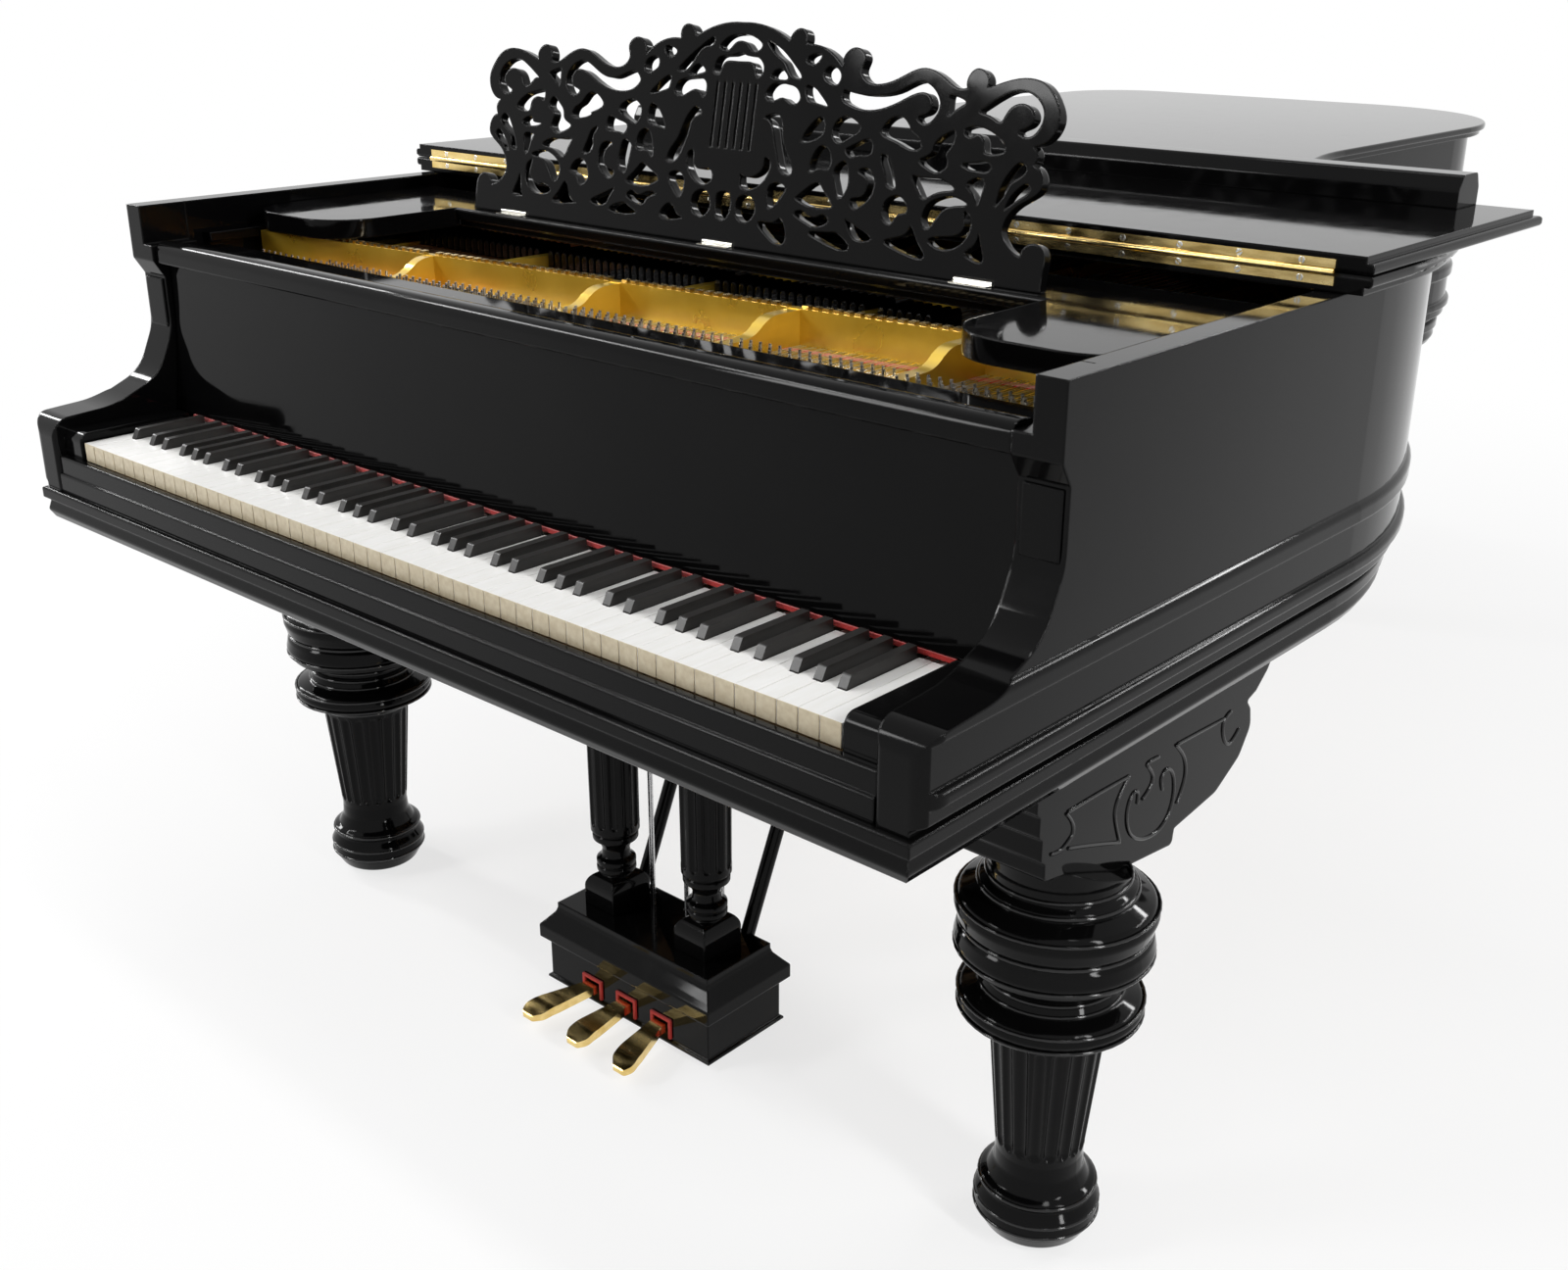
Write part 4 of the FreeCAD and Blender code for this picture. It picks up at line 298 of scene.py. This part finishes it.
# Plate: one grey-iron casting, ground on the edges and bronzed with gold powder under varnish;
# the skin keeps a faint sand texture.
bronzed, nodes, links, skin, where = new_finish("gilt_iron")
skin.inputs["Metallic"].default_value = 0.75
skin.inputs["Coat Weight"].default_value = 0.5
skin.inputs["Coat Roughness"].default_value = 0.12
powder = speckle(nodes, links, where, 14, 8)
tint = two_tone(nodes, links, powder, 0.3, (0.66, 0.42, 0.035, 1), 0.72, (0.8, 0.55, 0.075, 1))
links.new(tint, skin.inputs["Base Color"])
links.new(spread(nodes, links, powder, 0, 1, 0.22, 0.36), skin.inputs["Roughness"])
sand = speckle(nodes, links, where, 420, 4)
relief(nodes, links, sand, 0.06, 0.0002, skin)
dress(bronzed, "iron_plate")


# Bolts of the plate: slotted round heads of iron, bronzed with it. They go through the edge band
# along the spine and the tail and hold the casting down on its liner.
def screw(radius, height):
    """Slotted screw head on +Z: a disc with its rim rounded and a slot sunk across its face."""
    bpy.ops.mesh.primitive_cylinder_add(
        vertices=16, radius=radius, depth=height, location=(0, 0, height / 2)
    )
    made = bpy.context.object
    bpy.ops.object.transform_apply(location=True, rotation=True, scale=True)
    bpy.ops.object.mode_set(mode="EDIT")
    bpy.ops.mesh.select_mode(type="EDGE")
    bpy.ops.mesh.select_all(action="DESELECT")
    form = bmesh.from_edit_mesh(made.data)
    for edge in form.edges:
        if min(corner.co.z for corner in edge.verts) > height * 0.9:
            edge.select_set(True)
    bmesh.update_edit_mesh(made.data)
    bpy.ops.mesh.bevel(offset=height * 0.45, segments=2, affect="EDGES")
    half_slot = 0.16 * radius
    for cut in (-half_slot, half_slot):
        bpy.ops.mesh.select_all(action="SELECT")
        bpy.ops.mesh.bisect(plane_co=(cut, 0, 0), plane_no=(1, 0, 0))
    bpy.ops.mesh.select_mode(type="FACE")
    bpy.ops.mesh.select_all(action="DESELECT")
    form = bmesh.from_edit_mesh(made.data)
    for face in form.faces:
        if abs(face.calc_center_median().x) < half_slot and face.normal.z > 0.9:
            face.select_set(True)
    bmesh.update_edit_mesh(made.data)
    bpy.ops.mesh.extrude_region_move(TRANSFORM_OT_translate={"value": (0, 0, -height * 0.4)})
    bpy.ops.object.mode_set(mode="OBJECT")
    return made


def set_of(name, pattern, places, facing, finish, body):
    """Copies of a screw at each place, facing one way with their slots turned at odds, as one piece."""
    slot_turn = 1.1
    bpy.ops.object.select_all(action="DESELECT")
    aim = Vector((0, 0, 1)).rotation_difference(Vector(facing)).to_matrix().to_4x4()
    for number, place in enumerate(places):
        made = pattern.copy()
        made.data = pattern.data.copy()
        bpy.context.collection.objects.link(made)
        twist = Matrix.Rotation(number * slot_turn, 4, "Z")
        made.matrix_world = Matrix.Translation(place) @ aim @ twist
        made.select_set(True)
    bpy.context.view_layer.objects.active = made
    bpy.ops.object.join()
    bpy.ops.object.transform_apply(location=True, rotation=True, scale=True)
    made.name = name
    made.data.materials.append(finish)
    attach(made, body)


band_top = 0.907
spine_row_x = -0.655
tail_row_y = 1.178
spine_bolts = [(spine_row_x, -0.45 + 0.24 * n, band_top) for n in range(6)]
tail_bolts = [(-0.5 + 0.19 * n, tail_row_y, band_top) for n in range(3)]
bolt = screw(0.009, 0.005)
set_of("plate_bolts", bolt, spine_bolts + tail_bolts, (0, 0, 1), bronzed, "case")
bpy.data.objects.remove(bolt)


# Strings and pins: drawn steel wire, wound with copper in the bass, on steel tuning pins
# driven into the pin block, and led through brass agraffes; the damper heads are lacquered.
def metal(name, dark, light, smooth, dull, scale, stretch):
    """Bare metal with a drawn or rubbed grain, its roughness between smooth and dull."""
    made, nodes, links, skin, where = new_finish(name)
    skin.inputs["Metallic"].default_value = 1.0
    rubbed = speckle(nodes, links, where, scale, 7, stretch)
    links.new(two_tone(nodes, links, rubbed, 0.3, dark, 0.7, light), skin.inputs["Base Color"])
    links.new(spread(nodes, links, rubbed, 0.3, 0.7, smooth, dull), skin.inputs["Roughness"])
    relief(nodes, links, rubbed, 0.06, 0.0003, skin)
    return made


steel = metal(
    "drawn_steel", (0.42, 0.42, 0.43, 1), (0.62, 0.62, 0.62, 1), 0.2, 0.36, 300, (1, 0.05, 1)
)
copper = metal(
    "copper_winding", (0.55, 0.27, 0.14, 1), (0.78, 0.44, 0.25, 1), 0.25, 0.42, 900, (1, 1, 1)
)
brass = metal(
    "rubbed_brass", (0.74, 0.52, 0.17, 1), (0.92, 0.72, 0.33, 1), 0.12, 0.28, 90, (0.3, 1, 1)
)
dress(steel, "treble_strings", "tuning_pins")
dress(copper, "bass_strings")
dress(brass, "agraffes")
dress(lacquer, "dampers")

# Natural keys: pine levers with thin ivory glued on top, bleached nearly white, with fine lines
# along it; the front faces are cream, with painted shade making them a darker tan than the tops.
key_front = -1.2362
ivory, nodes, links, skin, where = new_finish("ivory")
skin.inputs["Coat Weight"].default_value = 0.2
skin.inputs["Coat Roughness"].default_value = 0.15
lines = speckle(nodes, links, where, 160, 4, (1, 0.12, 1))
tops = two_tone(nodes, links, lines, 0.3, (0.91, 0.9, 0.87, 1), 0.7, (0.95, 0.945, 0.93, 1))
# Front faces: cream darkened by painted shade, the shade of upright faces under light from above.
shaded_cream_fronts = two_tone(nodes, links, lines, 0.3, (0.6, 0.5, 0.33, 1), 0.7, (0.72, 0.63, 0.45, 1))
place = nodes.new("ShaderNodeSeparateXYZ")
links.new(where, place.inputs["Vector"])
front = nodes.new("ShaderNodeMath")
front.operation = "LESS_THAN"
front.inputs[1].default_value = key_front
links.new(place.outputs["Y"], front.inputs[0])
# Tops near white; in front of the key line the colour with painted shade on the front faces.
tops_and_shaded_fronts = nodes.new("ShaderNodeMix")
tops_and_shaded_fronts.data_type = "RGBA"
links.new(front.outputs[0], tops_and_shaded_fronts.inputs["Factor"])
links.new(tops, tops_and_shaded_fronts.inputs["A"])
links.new(shaded_cream_fronts, tops_and_shaded_fronts.inputs["B"])
links.new(tops_and_shaded_fronts.outputs["Result"], skin.inputs["Base Color"])
links.new(spread(nodes, links, lines, 0, 1, 0.25, 0.4), skin.inputs["Roughness"])
dress(ivory, "naturals_ceg", "naturals_dfa", "naturals_b")

# Sharps: blocks of ebony shaped with sloping sides and glued on the levers between the naturals;
# the wood is oiled, with fine pores along it.
ebony, nodes, links, skin, where = new_finish("ebony")
pores = speckle(nodes, links, where, 700, 5, (1, 0.06, 1))
oiled = two_tone(nodes, links, pores, 0.35, (0.004, 0.0037, 0.0035, 1), 0.7, (0.013, 0.011, 0.0095, 1))
links.new(oiled, skin.inputs["Base Color"])
links.new(spread(nodes, links, pores, 0, 1, 0.28, 0.45), skin.inputs["Roughness"])
dress(ebony, "sharps_cfa", "sharps_dg")

# Felts: a strip of red woven felt along the foot of the fallboard, which keeps it off the keys,
# and red collars glued round the slots of the pedals.
red_felt, nodes, links, skin, where = new_finish("red_felt")
skin.inputs["Roughness"].default_value = 0.95
skin.inputs["Sheen Weight"].default_value = 0.4
skin.inputs["Sheen Roughness"].default_value = 0.5
skin.inputs["Specular IOR Level"].default_value = 0.15
fluff = speckle(nodes, links, where, 900, 6)
dyed = two_tone(nodes, links, fluff, 0.3, (0.3, 0.006, 0.005, 1), 0.7, (0.58, 0.022, 0.016, 1))
links.new(dyed, skin.inputs["Base Color"])
relief(nodes, links, fluff, 0.5, 0.0006, skin)
dress(red_felt, "key_felt", "pedal_felts")

# Stringing felt: a red strip glued on the plate in front of its slanting wall, under the strings;
# it is cut from the sheet with shears, so its edges are soft.
strip_start = Vector((-0.585, -0.962, 0.9077))
strip_end = Vector((0.585, -0.831, 0.9077))
strip_width = 0.014
strip_thickness = 0.0014
strip_easing = 0.0005
strip_run = strip_end - strip_start
slant = atan2(strip_run.y, strip_run.x)
bpy.ops.mesh.primitive_cube_add(
    size=1, location=(strip_start + strip_end) / 2, rotation=(0, 0, slant)
)
felt_strip = bpy.context.object
felt_strip.name = "stringing_felt"
felt_strip.scale = (strip_run.length, strip_width, strip_thickness)
bpy.ops.object.transform_apply(location=True, rotation=True, scale=True)
bpy.ops.object.mode_set(mode="EDIT")
bpy.ops.mesh.select_all(action="SELECT")
bpy.ops.mesh.bevel(offset=strip_easing, segments=2, affect="EDGES")
bpy.ops.object.mode_set(mode="OBJECT")
felt_strip.data.materials.append(red_felt)
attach(felt_strip, "case")

# Fallboard, lid and music desk: veneered boards with moulded edges and a sawn fretwork desk, all
# lacquered like the case. The lid and its front flap hang on hinges of rubbed brass.
dress(lacquer, "fallboard", "fallboard_rail", "main_lid", "front_flap", "flap_bar", "lid_prop")
dress(lacquer, "music_shelf", "shelf_runners", "music_desk")
dress(brass, "lid_hinge_leaf", "flap_hinge_leaf", "spine_hinges", "spine_hinge_leaves")

# Desk hinges: small leaves of pale nickelled metal, pinned on the ledge of the music shelf
# and on the foot of the desk.
nickel = metal("nickel", (0.72, 0.7, 0.64, 1), (0.9, 0.88, 0.82, 1), 0.16, 0.3, 120, (0.3, 1, 1))
dress(nickel, "desk_hinges")

# Hinge screws: slotted heads of pale metal, countersunk in both leaves of the long hinge so that
# the leaves can close on each other; only a hair of each rounded head stands out of the brass.
screw_radius = 0.0041
screw_height = 0.002
leaf_face = -0.6182
stands_out = 0.00015
screw_seat = leaf_face - stands_out + screw_height
across = [-0.66 + 0.066 * n for n in range(21)]
lid_places = [(x, screw_seat, 1.0016) for x in across]
flap_places = [(x, screw_seat, 1.0182) for x in across]
hinge_screw = screw(screw_radius, screw_height)
set_of("lid_hinge_screws", hinge_screw, lid_places, (0, -1, 0), nickel, "lid")
set_of("flap_hinge_screws", hinge_screw, flap_places, (0, -1, 0), nickel, "flap")
bpy.data.objects.remove(hinge_screw)


# Carving of the consoles: scrolls cut with a veiner on the outer cheek of each bracket and left
# with a raised burr, which is lacquered with the bracket and rubbed brighter than the flats around it.
def strands(name, lines, radius):
    """Smooth round-backed lines through the given points, as one mesh."""
    drawn = bpy.data.curves.new(name, "CURVE")
    drawn.dimensions = "3D"
    drawn.bevel_depth = radius
    drawn.bevel_resolution = 2
    drawn.resolution_u = 5
    drawn.use_fill_caps = True
    for points in lines:
        spline = drawn.splines.new("NURBS")
        spline.points.add(len(points) - 1)
        for point, place in zip(spline.points, points):
            point.co = (*place, 1)
        spline.order_u = 3
        spline.use_endpoint_u = True
    made = bpy.data.objects.new(name, drawn)
    bpy.context.collection.objects.link(made)
    bpy.ops.object.select_all(action="DESELECT")
    made.select_set(True)
    bpy.context.view_layer.objects.active = made
    bpy.ops.object.convert(target="MESH")
    return bpy.context.object


# Each scroll's points are millimetres behind the axis of the leg and above the line of the carving.
scrolls = (
    ((-71, -85), (-59, -97), (-55, -111), (-64, -117), (-78, -123), (-93, -119)),
    ((-68, -84), (-34, -84), (4, -85), (40, -87)),
    ((40, -87), (25, -100), (18, -116), (21, -132), (32, -156)),
    ((-63, -125), (-24, -137), (32, -157)),
    ((61, -125), (63, -110), (49, -109), (42, -124), (43, -142), (54, -160), (80, -174),
     (112, -176), (131, -162), (136, -140), (130, -115), (114, -104), (103, -115), (110, -128)),
    ((70, -124), (83, -118), (90, -107), (82, -95), (69, -83), (96, -86)),
    ((130, -85), (147, -100), (156, -118), (156, -138), (143, -157)),
    ((134, -85), (179, -87), (229, -90)),
    ((245, -86), (232, -88), (229, -101), (235, -116), (245, -126), (258, -123), (268, -114)),
)
leg_y_mm = -879
carving_z_mm = 630
cheek_x = 0.6463
burr_radius = 0.0022
burnished = lacquer.copy()
burnished.name = "burnished_lacquer"
burnished.node_tree.nodes["Principled BSDF"].inputs["Specular IOR Level"].default_value = 0.4
for side, x in (("right", cheek_x), ("left", -cheek_x)):
    lines = []
    for points in scrolls:
        lines.append([
            (x, (back + leg_y_mm) / 1000, (rise + carving_z_mm) / 1000) for back, rise in points
        ])
    carving = strands(side + "_console_carving", lines, burr_radius)
    carving.data.materials.append(burnished)
    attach(carving, "case")

# Legs, consoles and lyre: turned, fluted and moulded in hardwood, lacquered like the case and
# dowelled to its underside; brass pedals, polished by use, push steel rods up into the case.
dress(lacquer, "left_leg", "right_leg", "tail_leg", "left_console", "right_console", "tail_leg_block")
dress(lacquer, "pedal_box", "lyre_posts", "lyre_braces")
dress(brass, "left_pedal", "middle_pedal", "right_pedal")
dress(steel, "left_rod", "middle_rod", "right_rod")

# Rings of the legs: thin beads turned on each leg between and along its bulges and on its foot,
# cut in the same piece of wood and polished with it. Each is given in millimetres by the radius
# from the axis, the height above the floor and the radius of the bead.
beads = (
    (66.6, 30, 2.0), (66.4, 43, 2.0), (62.4, 64.5, 2.2),
    (66.2, 267.5, 2.2), (95.6, 284, 1.8), (96.0, 300, 1.8),
    (74.6, 312, 2.2), (70.4, 322, 2.6), (72.6, 334, 2.2),
    (101.6, 355, 1.8), (97.0, 381, 2.4), (102.6, 410, 1.8),
    (80.2, 427.5, 2.6), (72.6, 440, 2.2),
)
ring_sets = (
    ("left_leg_rings", -0.5993, -0.879),
    ("right_leg_rings", 0.5993, -0.879),
    ("tail_leg_rings", -0.25325, 0.943),
)
for name, x, y in ring_sets:
    turned = []
    for radius, height, thick in beads:
        bpy.ops.mesh.primitive_circle_add(
            vertices=8, radius=thick / 1000,
            location=(x + radius / 1000, y, height / 1000), rotation=(pi / 2, 0, 0)
        )
        bpy.ops.object.transform_apply(location=True, rotation=True, scale=True)
        bpy.ops.object.mode_set(mode="EDIT")
        bpy.ops.mesh.select_all(action="SELECT")
        bpy.ops.mesh.spin(steps=44, angle=2 * pi, center=(x, y, 0), axis=(0, 0, 1))
        bpy.ops.mesh.select_all(action="SELECT")
        bpy.ops.mesh.remove_doubles(threshold=0.0001)
        bpy.ops.mesh.normals_make_consistent(inside=False)
        bpy.ops.object.mode_set(mode="OBJECT")
        bpy.ops.object.shade_smooth()
        turned.append(bpy.context.object)
    bpy.ops.object.select_all(action="DESELECT")
    for bead in turned:
        bead.select_set(True)
    bpy.ops.object.join()
    leg_rings = bpy.context.object
    leg_rings.name = name
    leg_rings.data.materials.append(burnished)
    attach(leg_rings, "case")
